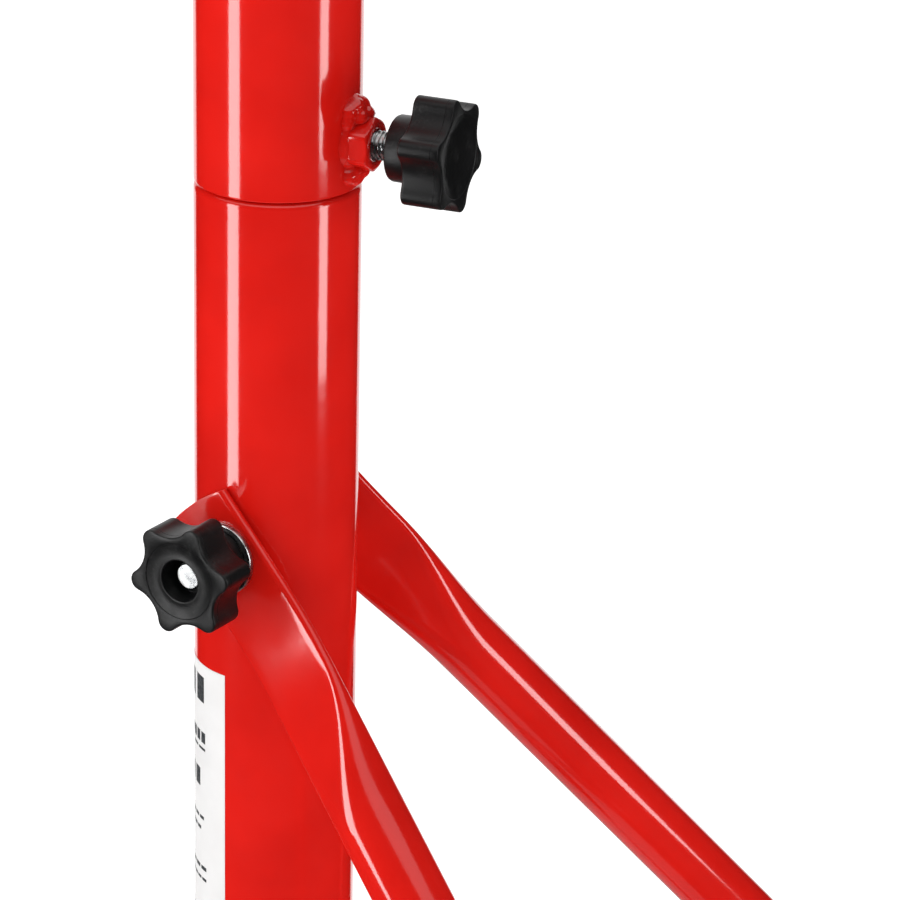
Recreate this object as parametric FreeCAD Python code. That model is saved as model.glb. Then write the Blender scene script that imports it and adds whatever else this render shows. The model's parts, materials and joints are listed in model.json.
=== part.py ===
import FreeCAD, Part
import math
import os

# Knock-down axle support stand: a two-piece round column on two splayed braces,
# with a pinned extension tube, a lifting screw and a swivelling cradle.
# Millimetres, +Z up, origin on the floor under the column, front of the stand at -Y.

Vector = FreeCAD.Vector
UP = Vector(0, 0, 1)

# ---- driving dimensions ----
column_radius = 28.5
column_wall = 2.0
foot_pad_height = 6.0
base_plate_height = 8.0
base_plate_radius = 42.0
rim_height = 560.0
spigot_length = 80.0
spigot_clearance = 0.05
shoulder_height = 2.5
upper_column_top = 1040.0

tube_radius = 12.7
tube_wall = 1.5
flat_thickness = 4.0
flat_half_width = 16.0
upper_flat_length = 49.0
upper_transition = 58.0
lower_flat_length = 26.0
lower_transition = 38.0
end_reach = 21.0
end_arc_radius = 58.0

brace_splay = 17.0
brace_slope = 48.85
brace_bend = 8.1
brace_bend_centre = 36.0
brace_bend_span = 12.0
ground_bend_span = 10.0
left_stud_drop = 128.0
right_stud_drop = 110.0
lug_bolt_height = 72.5
ground_height = 34.0
ground_overhang = 75.0
rear_foot_reach = 330.0

stud_radius = 5.0
thread_clearance = 0.05
bolt_hole_radius = 5.25
stud_head_radius = 8.0
washer_radius = 13.0
washer_thickness = 2.0
hex_across_flats = 17.0

knob_radius = 20.5
knob_tip_radius = 3.6
knob_valley_radius = 15.6
knob_lobes = 6
brace_knob_length = 23.6
clamp_knob_length = 23.0
knob_star_length = 14.5
knob_hub_radius = 11.3
knob_socket_radius = 7.4
socket_dish_radius = 13.6
socket_dish_depth = 1.0
closed_dish_radius = 14.6
closed_dish_depth = 2.4
insert_radius = 7.6
insert_length = 14.0
stud_past_washer = 18.0

clamp_height = 16.7
clamp_azimuth = -97.7
clamp_nut_length = 8.0
clamp_knob_start = 43.3
clamp_knob_turn = -18.9
weld_radius = 5.0
weld_rise = 11.0

label_top_drop = 46.7
label_height = 150.0
label_thickness = 0.2
label_start = 50.0
label_end = 159.5

extension_radius = 24.0
extension_wall = 3.0
extension_bottom = 665.0
extension_top = 1112.0
collar_radius = 30.0
collar_flange = 12.0
collar_depth = 20.0
slide_clearance = 0.08
guide_ring_height = 20.0
pin_radius = 6.2
pin_clearance = 0.05
pin_pitch = 40.0
pin_positions = 9

screw_radius = 15.0
screw_bottom = 1070.0
screw_top = 1165.0
cap_height = 10.0
nut_height = 24.0
nut_radius = 25.0
face_gap = 0.3
handle_radius = 6.0
handle_reach = 105.0
swivel_radius = 10.0
swivel_length = 12.0
saddle_base_radius = 30.0
saddle_base_height = 16.0
saddle_length = 56.0
saddle_seat_width = 56.0
saddle_wall = 8.0
saddle_arm_height = 34.0
saddle_arm_lean = 10.0
saddle_pad_thickness = 4.0

shoe_length = 56.0
shoe_width = 44.0
shoe_height = 52.0
shoe_wall = 8.0
shoe_round = 5.0

# ---- derived places ----
left_stud_height = rim_height - left_stud_drop
right_stud_height = rim_height - right_stud_drop
base_top = foot_pad_height + base_plate_height
brace_offset = column_radius + flat_thickness / 2
ground_offset = brace_offset + flat_thickness
slope = math.radians(brace_slope)
bend = math.radians(brace_bend)
ground_bend = math.degrees(math.atan(math.tan(bend) / math.cos(slope)))
half_turn = math.tan(math.radians(ground_bend) / 2)
ground_bend_centre = brace_bend_centre * math.cos(slope) - flat_thickness * half_turn
collar_top = upper_column_top + collar_flange
pin_height = collar_top + pin_radius + 0.1
clamp_axis_height = rim_height + clamp_height
cap_top = extension_top + cap_height
nut_bottom = cap_top + face_gap
saddle_bottom = screw_top + face_gap
saddle_seat = saddle_bottom + saddle_base_height

# name: (heading of the flat ends, azimuth of the studs, side of the leg plane, stud height,
#        turn of the brace knob's lobes)
LEGS = {
    "left": (-90.0 - brace_splay, 180.0 - brace_splay, -1, left_stud_height, 12.5),
    "right": (-90.0 + brace_splay, brace_splay, 1, right_stud_height, 40.0),
}


def save(node, shape):
    """Write one sub-part and say how it came out."""
    shape.exportStep("parts/%s.step" % node)
    print(node, "valid" if shape.isValid() else "INVALID", round(shape.Volume, 1))


def turned(shape, axis, degrees):
    """Turn a copy of a shape about an axis through the origin."""
    result = shape.copy()
    result.rotate(Vector(0, 0, 0), axis, degrees)
    return result


def moved(shape, x, y, z):
    """Shift a copy of a shape."""
    result = shape.copy()
    result.translate(Vector(x, y, z))
    return result


def rod(radius, start, end):
    """Cylinder between two points."""
    run = end - start
    return Part.makeCylinder(radius, run.Length, start, run)


def ring(outer, inner, bottom, top):
    """Upright ring about the column's axis."""
    body = Part.makeCylinder(outer, top - bottom, Vector(0, 0, bottom))
    bore = Part.makeCylinder(inner, top - bottom + 2, Vector(0, 0, bottom - 1))
    return body.cut(bore)


def radial(shape, azimuth, height):
    """Place a shape built along +X so that it points out of the column."""
    return moved(turned(shape, UP, azimuth), 0, 0, height)


def along_x(shape):
    """Lay a shape built along +Z down along +X."""
    return turned(shape, Vector(0, 1, 0), 90)


def disc(outer, inner, start, length):
    """Ring about the X axis."""
    body = rod(outer, Vector(start, 0, 0), Vector(start + length, 0, 0))
    bore = rod(inner, Vector(start - 1, 0, 0), Vector(start + length + 1, 0, 0))
    return body.cut(bore)


def hexagon(across_flats, start, length, bore_radius, twist=0.0):
    """Hexagonal prism about the X axis, with its outer corners taken off."""
    corner = across_flats / math.sqrt(3)
    angles = [math.radians(60 * step + twist) for step in range(7)]
    points = [Vector(corner * math.cos(a), corner * math.sin(a), 0) for a in angles]
    prism = Part.Face(Part.makePolygon(points)).extrude(Vector(0, 0, length))
    drop = 0.12 * across_flats
    crown = Part.makeCone(corner + length - drop, corner - drop * 0.4, length)
    prism = prism.common(crown)
    if bore_radius:
        prism = prism.cut(Part.makeCylinder(bore_radius, length + 2, Vector(0, 0, -1)))
    return moved(along_x(prism), start, 0, 0)


# ---- flattened tube: one shape for the braces and the ground tubes ----
def section(x, opening, inset=0.0):
    """Outline of the squeezed tube at x, from flat at opening 0 to round at opening 1."""
    half_thickness = flat_thickness / 2 + opening * (tube_radius - flat_thickness / 2)
    half_width = flat_half_width + opening * (tube_radius - flat_half_width)
    r = half_thickness - inset
    w = max(half_width - half_thickness, 0.05)
    corners = [Vector(x, r, w), Vector(x, 0, w + r), Vector(x, -r, w)]
    corners += [Vector(x, -r, -w), Vector(x, 0, -w - r), Vector(x, r, -w)]
    edges = [
        Part.Arc(corners[0], corners[1], corners[2]).toShape(),
        Part.makeLine(corners[2], corners[3]),
        Part.Arc(corners[3], corners[4], corners[5]).toShape(),
        Part.makeLine(corners[5], corners[0]),
    ]
    return Part.Wire(edges)


def squeezed(x_flat, x_round, inset=0.0, thinnest=0.0, twist=0.0):
    """Stretch of tube that opens from the flat section, turned by the twist, to the round."""
    steps = 8
    wires = []
    for step in range(steps + 1):
        share = step / steps
        ease = (1 - math.cos(math.pi * share)) / 2
        half_thickness = flat_thickness / 2 + ease * (tube_radius - flat_thickness / 2)
        if half_thickness - inset >= thinnest:
            wire = section(x_flat + share * (x_round - x_flat), ease, inset)
            wires.append(turned(wire, Vector(1, 0, 0), twist * (1 - ease)))
    return Part.makeLoft(wires, True, False)


def straight(x_start, x_end, opening, inset=0.0):
    """Stretch of tube of one section."""
    face = Part.Face(section(x_start, opening, inset))
    return face.extrude(Vector(x_end - x_start, 0, 0))


def flattened_end(hole_x, outward):
    """Flat end with its shallow rounding, from the end to the hole's far side."""
    tip = hole_x + outward * end_reach
    flat = straight(tip, hole_x - outward * 2, 0)
    centre = Vector(tip - outward * end_arc_radius, -10, 0)
    return flat.common(Part.makeCylinder(end_arc_radius, 20, centre, Vector(0, 1, 0)))


def bolt_hole(hole_x):
    """Cutter for a hole through the flat end."""
    return rod(bolt_hole_radius, Vector(hole_x, -10, 0), Vector(hole_x, 10, 0))


def vent(x):
    """Cutter for the small drain hole on the underside."""
    hole_radius = 2.5
    start = Vector(x, 0, -tube_radius - 1)
    return rod(hole_radius, start, Vector(x, 0, -tube_radius + 2 * tube_wall + 1))


def bent(shape, pivot, degrees):
    """Turn a copy of a shape about an upright line through the pivot on the X axis."""
    result = shape.copy()
    result.rotate(Vector(pivot, 0, 0), UP, degrees)
    return result


def bend_stretch(pivot, span, degrees):
    """Flat stretch that turns through a gentle arc about the pivot."""
    radius = span / math.tan(math.radians(degrees) / 2)
    steps = 6
    wires = []
    for step in range(steps + 1):
        angle = degrees * step / steps
        a = math.radians(angle)
        wire = turned(section(0, 0), UP, angle)
        x = pivot - span + radius * math.sin(a)
        wires.append(moved(wire, x, radius * (1 - math.cos(a)), 0))
    return Part.makeLoft(wires, True, False)


def brace(leg):
    """Tube along X with flat drilled ends, bent outward where it leaves the column."""
    side = LEGS[leg][2]
    length = brace_length(leg)
    bend_end = brace_bend_centre + brace_bend_span
    near_round = upper_flat_length + upper_transition
    far_flat = length - lower_flat_length
    far_round = far_flat - lower_transition
    twist = -side * math.degrees(math.asin(math.sin(math.radians(ground_bend)) * math.sin(slope)))
    near = flattened_end(0, -1).fuse(straight(-2, brace_bend_centre - brace_bend_span, 0))
    near = near.cut(bolt_hole(0))
    middle = straight(bend_end, upper_flat_length, 0)
    middle = middle.fuse(squeezed(upper_flat_length, near_round))
    middle = middle.fuse(straight(near_round, far_round, 1))
    hollow = straight(near_round, far_round, 1, tube_wall)
    hollow = hollow.fuse(squeezed(upper_flat_length, near_round, tube_wall, 1.5))
    middle = middle.cut(hollow).cut(vent(far_round - 15))
    far = straight(far_flat, length + 2, 0).fuse(flattened_end(length, 1))
    far = turned(far.cut(bolt_hole(length)), Vector(1, 0, 0), twist)
    far = far.fuse(squeezed(far_flat, far_round, 0.0, 0.0, twist))
    far = far.cut(squeezed(far_flat, far_round, tube_wall, 1.5, twist))
    outer = middle.fuse(far)
    outer = bent(outer, brace_bend_centre, side * brace_bend)
    curve = bend_stretch(brace_bend_centre, brace_bend_span, side * brace_bend)
    return near.fuse(curve).fuse(outer)


def ground_tube(leg, end):
    """Tube along X with a flat, bent inner end and an open outer end."""
    side = LEGS[leg][2]
    flat_end = ground_bend_centre + ground_bend_span + 2
    near_round = flat_end + lower_transition
    near = flattened_end(0, -1)
    near = near.fuse(straight(-2, ground_bend_centre - ground_bend_span, 0)).cut(bolt_hole(0))
    outer = straight(ground_bend_centre + ground_bend_span, flat_end, 0)
    outer = outer.fuse(squeezed(flat_end, near_round))
    outer = outer.fuse(straight(near_round, end, 1))
    hollow = straight(near_round, end + 1, 1, tube_wall)
    hollow = hollow.fuse(squeezed(flat_end, near_round, tube_wall, 1.5))
    outer = bent(outer.cut(hollow), ground_bend_centre, side * ground_bend)
    curve = bend_stretch(ground_bend_centre, ground_bend_span, side * ground_bend)
    return near.fuse(curve).fuse(outer)


def on_leg(shape, leg, offset, height, tilt=0.0):
    """Place a shape built along X, from the stud outwards, on the plane of a leg's flat end."""
    heading, _, side, _, _ = LEGS[leg]
    placed = turned(shape, Vector(0, 1, 0), tilt)
    return turned(moved(placed, 0, side * offset, height), UP, heading)


def past_bend(shape, leg, x, height):
    """Place a shape beside the ground tube, x along it, past its bend."""
    side = LEGS[leg][2]
    placed = bent(moved(shape, x, 0, 0), ground_bend_centre, side * ground_bend)
    return on_leg(placed, leg, ground_offset, height)


def brace_length(leg):
    """Distance between a brace's two holes, along the bent tube."""
    slant = (LEGS[leg][3] - lug_bolt_height) / math.sin(slope)
    return brace_bend_centre + (slant - brace_bend_centre) / math.cos(bend)


def lug_place(leg):
    """Distance from the column's stud to the lug, along the bent ground tube."""
    beyond = brace_length(leg) - brace_bend_centre
    run = beyond * math.hypot(math.cos(slope) * math.cos(bend), math.sin(bend))
    return brace_bend_centre * math.cos(slope) + run - 2 * flat_thickness * half_turn


def lug():
    """Welded ear on top of a ground tube, seated on the tube's curve."""
    rise = lug_bolt_height - ground_height
    radius = 18.0
    foot = tube_radius - 4
    axis = Vector(0, 1, 0)
    corner = Vector(-radius, -flat_thickness / 2, foot)
    plate = Part.makeBox(2 * radius, flat_thickness, rise - foot, corner)
    start = Vector(0, -flat_thickness / 2, rise)
    plate = plate.fuse(Part.makeCylinder(radius, flat_thickness, start, axis))
    plate = plate.cut(straight(-2 * radius, 2 * radius, 1))
    return plate.cut(Part.makeCylinder(bolt_hole_radius, 10, Vector(0, -5, rise), axis))


def shoe():
    """Moulded rubber shoe for a tube along X that ends at x = 0, soles at the floor."""
    back = -(shoe_length - shoe_wall)
    corner = Vector(back, -shoe_width / 2, -ground_height)
    block = Part.makeBox(shoe_length, shoe_width, shoe_height, corner)
    upright = [e for e in block.Edges if abs(e.tangentAt(e.FirstParameter).z) > 0.9]
    block = block.makeFillet(shoe_round, upright)
    top = [e for e in block.Edges if e.CenterOfMass.z > shoe_height - ground_height - 0.1]
    block = block.makeFillet(shoe_round - 1, top)
    return block.cut(straight(back - 1, 0, 1))


# ---- hardware ----
def star_outline(x):
    """Six-lobed outline at x: convex tips and concave valleys, all arcs."""
    tip_centre = knob_radius - knob_tip_radius
    half = math.pi / knob_lobes
    # the valley arc touches both neighbouring tip arcs and the valley radius
    reach = knob_valley_radius
    hollow = (tip_centre ** 2 + reach ** 2 - 2 * tip_centre * reach * math.cos(half)
              - knob_tip_radius ** 2)
    hollow /= 2 * (knob_tip_radius - reach + tip_centre * math.cos(half))
    valley_centre = reach + hollow
    edges = []
    for lobe in range(knob_lobes):
        angle = 2 * lobe * half
        tip = Vector(0, tip_centre * math.cos(angle), tip_centre * math.sin(angle))
        joins = []
        for turn in (-half, half):
            a = angle + turn
            centre = Vector(0, valley_centre * math.cos(a), valley_centre * math.sin(a))
            joins.append(tip + (centre - tip).normalize() * knob_tip_radius)
        crest = tip * (knob_radius / tip_centre)
        edges.append(Part.Arc(joins[0], crest, joins[1]).toShape())
        a = angle + 2 * half
        next_tip = Vector(0, tip_centre * math.cos(a), tip_centre * math.sin(a))
        centre = Vector(0, valley_centre * math.cos(angle + half),
                        valley_centre * math.sin(angle + half))
        next_join = next_tip + (centre - next_tip).normalize() * knob_tip_radius
        valley = centre * (reach / valley_centre)
        edges.append(Part.Arc(joins[1], valley, next_join).toShape())
    return moved(Part.Wire(edges), x, 0, 0)


def star_knob(length, face_cutter, bore_radius, bore_length):
    """Knob along X with its hub at x = 0 and its face at x = length."""
    star = Part.Face(star_outline(length - knob_star_length))
    star = star.extrude(Vector(knob_star_length, 0, 0))
    hub_end = length - knob_star_length + 1
    knob = star.fuse(rod(knob_hub_radius, Vector(0, 0, 0), Vector(hub_end, 0, 0)))
    bore = rod(bore_radius, Vector(-1, 0, 0), Vector(bore_length, 0, 0))
    return knob.cut(face_cutter).cut(bore)


def through_face(length):
    """Cutter for the coned dish and the deep socket of the brace knobs."""
    cone = Part.makeCone(knob_socket_radius, socket_dish_radius, socket_dish_depth)
    cone = moved(along_x(cone), length - socket_dish_depth, 0, 0)
    socket = rod(knob_socket_radius, Vector(insert_length, 0, 0), Vector(length, 0, 0))
    return cone.fuse(socket)


def dished_face(length):
    """Cutter for the smooth shallow dish of the clamp knob."""
    radius = (closed_dish_radius ** 2 + closed_dish_depth ** 2) / (2 * closed_dish_depth)
    return Part.makeSphere(radius, Vector(length - closed_dish_depth + radius, 0, 0))


def column_stud(tip):
    """Stud along X whose head sits inside the column."""
    head_outer = column_radius - column_wall - 1.3
    shaft = rod(stud_radius, Vector(head_outer - 1, 0, 0), Vector(tip, 0, 0))
    head = rod(stud_head_radius, Vector(head_outer - 3, 0, 0), Vector(head_outer, 0, 0))
    return shaft.fuse(head)


# ---- base: lower column, foot, braces and ground tubes ----
def lower_column():
    """Column tube with its swaged shoulder and the spigot above it."""
    spigot = column_radius - column_wall - spigot_clearance
    shoulder = rim_height - shoulder_height
    inner = column_radius - column_wall
    top = rim_height + spigot_length
    bend = Vector(spigot + 0.72 * (column_radius - spigot), 0, shoulder + 0.72 * shoulder_height)
    neck = Vector(spigot, 0, rim_height - 0.1)
    outer_foot = Vector(column_radius, 0, base_top)
    outer_shoulder = Vector(column_radius, 0, shoulder)
    rim = [Vector(spigot, 0, top), Vector(spigot - column_wall, 0, top)]
    throat = Vector(spigot - column_wall, 0, rim_height - 1)
    inner_shoulder = Vector(inner, 0, shoulder - 2)
    edges = [
        Part.makeLine(outer_foot, outer_shoulder),
        Part.Arc(outer_shoulder, bend, neck).toShape(),
        Part.makeLine(neck, rim[0]),
        Part.makeLine(rim[0], rim[1]),
        Part.makeLine(rim[1], throat),
        Part.makeLine(throat, inner_shoulder),
        Part.makeLine(inner_shoulder, Vector(inner, 0, base_top)),
        Part.makeLine(Vector(inner, 0, base_top), outer_foot),
    ]
    tube = Part.Face(Part.Wire(edges)).revolve(Vector(0, 0, 0), UP, 360)
    for _, azimuth, _, stud_height, _ in LEGS.values():
        for height in (stud_height, ground_height):
            hole = rod(bolt_hole_radius, Vector(15, 0, 0), Vector(35, 0, 0))
            tube = tube.cut(radial(hole, azimuth, height))
    return tube


def base_weld():
    """Fillet bead between the column and its base plate."""
    leg = 5.0
    points = [
        Vector(column_radius, 0, base_top),
        Vector(column_radius + leg, 0, base_top),
        Vector(column_radius, 0, base_top + leg),
    ]
    outline = Part.Face(Part.makePolygon(points + points[:1]))
    return outline.revolve(Vector(0, 0, 0), UP, 360)


def rear_foot_tube():
    """Round tube out of the back of the column, cut to the column's curve."""
    start = Vector(0, column_radius - 5, ground_height)
    end = Vector(0, rear_foot_reach, ground_height)
    inside = Vector(0, rear_foot_reach + 1, ground_height)
    tube = rod(tube_radius, start, end).cut(rod(tube_radius - tube_wall, start, inside))
    return tube.cut(Part.makeCylinder(column_radius, base_top + 100))


def rear_gusset():
    """Triangular web between the back of the column and the rear foot tube."""
    thickness = 5.0
    reach = 95.0
    rise = 105.0
    nose = 12.0
    low = ground_height + tube_radius
    points = [
        Vector(0, column_radius, low),
        Vector(0, column_radius + reach, low),
        Vector(0, column_radius + reach, low + 4),
        Vector(0, column_radius + nose, low + rise),
        Vector(0, column_radius, low + rise),
    ]
    plate = Part.Face(Part.makePolygon(points + points[:1]))
    plate = plate.extrude(Vector(thickness, 0, 0))
    return moved(plate, -thickness / 2, 0, 0)


def label():
    """Paper label wrapped round the side of the lower column."""
    top = left_stud_height - label_top_drop
    sleeve = ring(column_radius + label_thickness, column_radius, top - label_height, top)
    wedge = Part.makeCylinder(60, label_height, Vector(0, 0, top - label_height), UP,
                              label_end - label_start)
    return sleeve.common(turned(wedge, UP, label_start))


def bolt_set(leg):
    """Hex bolt, washer and lock nut that join a brace to its lug, along the leg's normal."""
    side = LEGS[leg][2]
    inner = -1.5 * flat_thickness
    outer = flat_thickness / 2
    head_height = 6.4
    nut_length = 9.0
    head = hexagon(hex_across_flats, 0, head_height, 0)
    head = moved(turned(head, UP, 180), inner, 0, 0)
    bolt_end = outer + washer_thickness + nut_length + 3
    bolt = head.fuse(rod(stud_radius, Vector(inner - 1, 0, 0), Vector(bolt_end, 0, 0)))
    washer = disc(washer_radius - 2, stud_radius + 0.25, outer, washer_thickness)
    nut = hexagon(hex_across_flats, outer + washer_thickness, nut_length, stud_radius, 20)
    return [past_bend(turned(piece, UP, side * 90), leg, lug_place(leg), lug_bolt_height)
            for piece in (bolt, washer, nut)]


# ---- upper column and its clamp ----
def upper_column():
    """Plain tube over the spigot, its lower rim eased and drilled for the clamp stud."""
    tube = ring(column_radius, column_radius - column_wall, rim_height, upper_column_top)
    rim = [e for e in tube.Edges
           if abs(e.CenterOfMass.z - rim_height) < 0.1 and e.Length > 6 * column_radius
           and abs(e.Length - 2 * math.pi * column_radius) < 1]
    tube = tube.makeFillet(0.8, rim)
    hole = rod(stud_radius + 0.5, Vector(15, 0, 0), Vector(35, 0, 0))
    return tube.cut(radial(hole, clamp_azimuth, clamp_axis_height))


def clamp_nut():
    """Hex nut welded against the column."""
    nut = hexagon(hex_across_flats, column_radius, clamp_nut_length,
                  stud_radius + thread_clearance)
    return radial(nut, clamp_azimuth, clamp_axis_height)


def clamp_weld():
    """Two run-out beads, above and below the nut, that follow the column's curve."""
    beads = []
    core = hexagon(hex_across_flats, column_radius - 10, 40, 0)
    core = radial(core, clamp_azimuth, clamp_axis_height)
    column = Part.makeCylinder(column_radius, 100, Vector(0, 0, rim_height - 20))
    box_width = 200
    below_rim = Part.makeBox(box_width, box_width, 50,
                             Vector(-box_width / 2, -box_width / 2, rim_height - 50 + 0.8))
    for sign in (1, -1):
        spread = Part.makeSphere(weld_radius, Vector(column_radius, 0, sign * weld_rise))
        neck_start = Vector(column_radius - 0.5, 0, sign * (weld_rise - 1))
        neck = Part.makeCone(weld_radius - 0.5, 2.0, 5.5, neck_start, Vector(1, 0, 0))
        bead = radial(spread.fuse(neck), clamp_azimuth, clamp_axis_height)
        beads.append(bead.cut(column).cut(core).cut(below_rim))
    return Part.makeCompound(beads)


def clamp_stud():
    """Threaded stud moulded into the clamp knob; its tip bears on the spigot."""
    tip = column_radius - column_wall + 0.3
    stud = rod(stud_radius, Vector(tip, 0, 0), Vector(clamp_knob_start + insert_length, 0, 0))
    return radial(stud, clamp_azimuth, clamp_axis_height)


def clamp_knob():
    """Closed star knob of the height clamp."""
    knob = star_knob(clamp_knob_length, dished_face(clamp_knob_length), stud_radius,
                     insert_length)
    knob = turned(knob, Vector(1, 0, 0), clamp_knob_turn)
    return radial(moved(knob, clamp_knob_start, 0, 0), clamp_azimuth, clamp_axis_height)


def top_collar():
    """Stepped bush that guides the extension tube at the top of the column."""
    flange = ring(collar_radius, extension_radius + slide_clearance, upper_column_top, collar_top)
    tail = ring(column_radius - column_wall, extension_radius + slide_clearance,
                upper_column_top - collar_depth, upper_column_top)
    return flange.fuse(tail)


# ---- extension tube, pin, screw and cradle ----
def extension_tube():
    """Inner tube with its row of pin holes."""
    tube = ring(extension_radius, extension_radius - extension_wall,
                extension_bottom, extension_top)
    for step in range(pin_positions):
        height = pin_height - step * pin_pitch
        reach = extension_radius + 5
        tube = tube.cut(rod(pin_radius + pin_clearance,
                            Vector(-reach, 0, height), Vector(reach, 0, height)))
    return tube


def guide_ring():
    """Ring on the foot of the extension tube that runs in the upper column."""
    outer = column_radius - column_wall - slide_clearance
    return ring(outer, extension_radius, extension_bottom, extension_bottom + guide_ring_height)


def tube_cap():
    """Plug in the top of the extension tube that the lifting nut turns on."""
    cap = ring(extension_radius, screw_radius + 0.3, extension_top, cap_top)
    tail = ring(extension_radius - extension_wall, screw_radius + 0.3,
                extension_top - 14, extension_top)
    return cap.fuse(tail)


def lock_pin():
    """Height pin that rests on the collar, with a shoulder for its handle."""
    start = Vector(-collar_radius - 6, 0, pin_height)
    shoulder = Vector(extension_radius + 6, 0, pin_height)
    end = Vector(extension_radius + 24, 0, pin_height)
    point = Part.makeCone(pin_radius, pin_radius - 2, 4, start, Vector(-1, 0, 0))
    return rod(pin_radius, start, end).fuse(point).fuse(rod(pin_radius + 2, shoulder, end))


def pin_handle():
    """Bent pull loop through the pin's head."""
    wire_radius = 2.5
    x = extension_radius + 18
    half = 22.0
    drop = 26.0
    round_off = 10.0
    z = pin_height
    top = [Vector(x, 0, z), Vector(x, half - round_off, z)]
    inset = round_off * (1 - math.sin(math.pi / 4))
    arc_mid = Vector(x, half - inset, z - inset)
    arc_end = Vector(x, half, z - round_off)
    foot = Vector(x, half, z - drop)
    path = Part.Wire([
        Part.makeLine(top[0], top[1]),
        Part.Arc(top[1], arc_mid, arc_end).toShape(),
        Part.makeLine(arc_end, foot),
    ])
    profile = Part.Wire([Part.makeCircle(wire_radius, top[0], Vector(0, 1, 0))])
    side = path.makePipeShell([profile], True, True)
    other = side.mirror(Vector(0, 0, 0), Vector(0, 1, 0))
    grip = rod(wire_radius + 2.5, Vector(x, -half - 3, z - drop), Vector(x, half + 3, z - drop))
    loop = side.fuse(other).fuse(grip)
    shank = rod(pin_radius + 2, Vector(0, 0, z), Vector(x + 20, 0, z))
    return loop.cut(shank)


def lift_nut():
    """Round nut with flats that carries the screw."""
    body = ring(nut_radius, screw_radius + thread_clearance, nut_bottom, nut_bottom + nut_height)
    waist = ring(nut_radius + 2, nut_radius - 2.5, nut_bottom + nut_height - 5,
                 nut_bottom + nut_height + 1)
    return body.cut(waist)


def nut_handles():
    """Two turning bars welded into the nut."""
    height = nut_bottom + nut_height / 2 - 2
    bars = []
    for sign in (1, -1):
        start = Vector(0, sign * (nut_radius - 6), height)
        end = Vector(0, sign * (handle_reach - 20), height)
        bars.append(rod(handle_radius, start, end))
    return Part.makeCompound([bar.cut(lift_nut()) for bar in bars])


def handle_grips():
    """Plastic sleeves on the ends of the turning bars."""
    height = nut_bottom + nut_height / 2 - 2
    grips = []
    for sign in (1, -1):
        inner = Vector(0, sign * (handle_reach - 62), height)
        tip = Vector(0, sign * handle_reach, height)
        bar_end = Vector(0, sign * (handle_reach - 20), height)
        sleeve = rod(handle_radius + 3, inner, tip)
        tips = [e for e in sleeve.Edges if abs(abs(e.CenterOfMass.y) - handle_reach) < 0.1]
        sleeve = sleeve.makeFillet(4.0, tips)
        grips.append(sleeve.cut(rod(handle_radius, Vector(0, 0, height), bar_end)))
    return Part.makeCompound(grips)


def lift_screw():
    """Lifting screw with the plain swivel pin that carries the cradle."""
    screw = Part.makeCylinder(screw_radius, screw_top - screw_bottom, Vector(0, 0, screw_bottom))
    pin = Part.makeCylinder(swivel_radius, swivel_length, Vector(0, 0, screw_top))
    return screw.fuse(pin)


def saddle():
    """Cradle with two leaning arms on a round boss, its seat along Y."""
    seat = saddle_seat
    half = saddle_seat_width / 2
    low = seat - saddle_wall
    top = seat + saddle_arm_height
    lean = saddle_arm_lean
    points = [
        Vector(-half - saddle_wall, 0, low),
        Vector(half + saddle_wall, 0, low),
        Vector(half + saddle_wall + lean, 0, top),
        Vector(half + lean, 0, top),
        Vector(half, 0, seat),
        Vector(-half, 0, seat),
        Vector(-half - lean, 0, top),
        Vector(-half - saddle_wall - lean, 0, top),
    ]
    trough = Part.Face(Part.makePolygon(points + points[:1]))
    trough = moved(trough.extrude(Vector(0, saddle_length, 0)), 0, -saddle_length / 2, 0)
    boss_height = low + 1 - saddle_bottom
    boss = Part.makeCylinder(saddle_base_radius, boss_height, Vector(0, 0, saddle_bottom))
    body = trough.fuse(boss)
    bore = Part.makeCylinder(swivel_radius + thread_clearance, swivel_length + 0.5,
                             Vector(0, 0, saddle_bottom - 0.5))
    return body.cut(bore).cut(grub_screw())


def saddle_pad():
    """Rubber pad in the bottom of the cradle."""
    half = saddle_seat_width / 2 - 2
    corner = Vector(-half, -saddle_length / 2 + 2, saddle_seat)
    pad = Part.makeBox(2 * half, saddle_length - 4, saddle_pad_thickness, corner)
    upright = [e for e in pad.Edges if abs(e.tangentAt(e.FirstParameter).z) > 0.9]
    return pad.makeFillet(4.0, upright)


def grub_screw():
    """Set screw that keeps the cradle on its swivel pin."""
    screw_size = 2.5
    height = saddle_bottom + 4.5
    start = Vector(swivel_radius + 0.3, 0, height)
    return rod(screw_size, start, Vector(saddle_base_radius + 1, 0, height))


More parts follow.
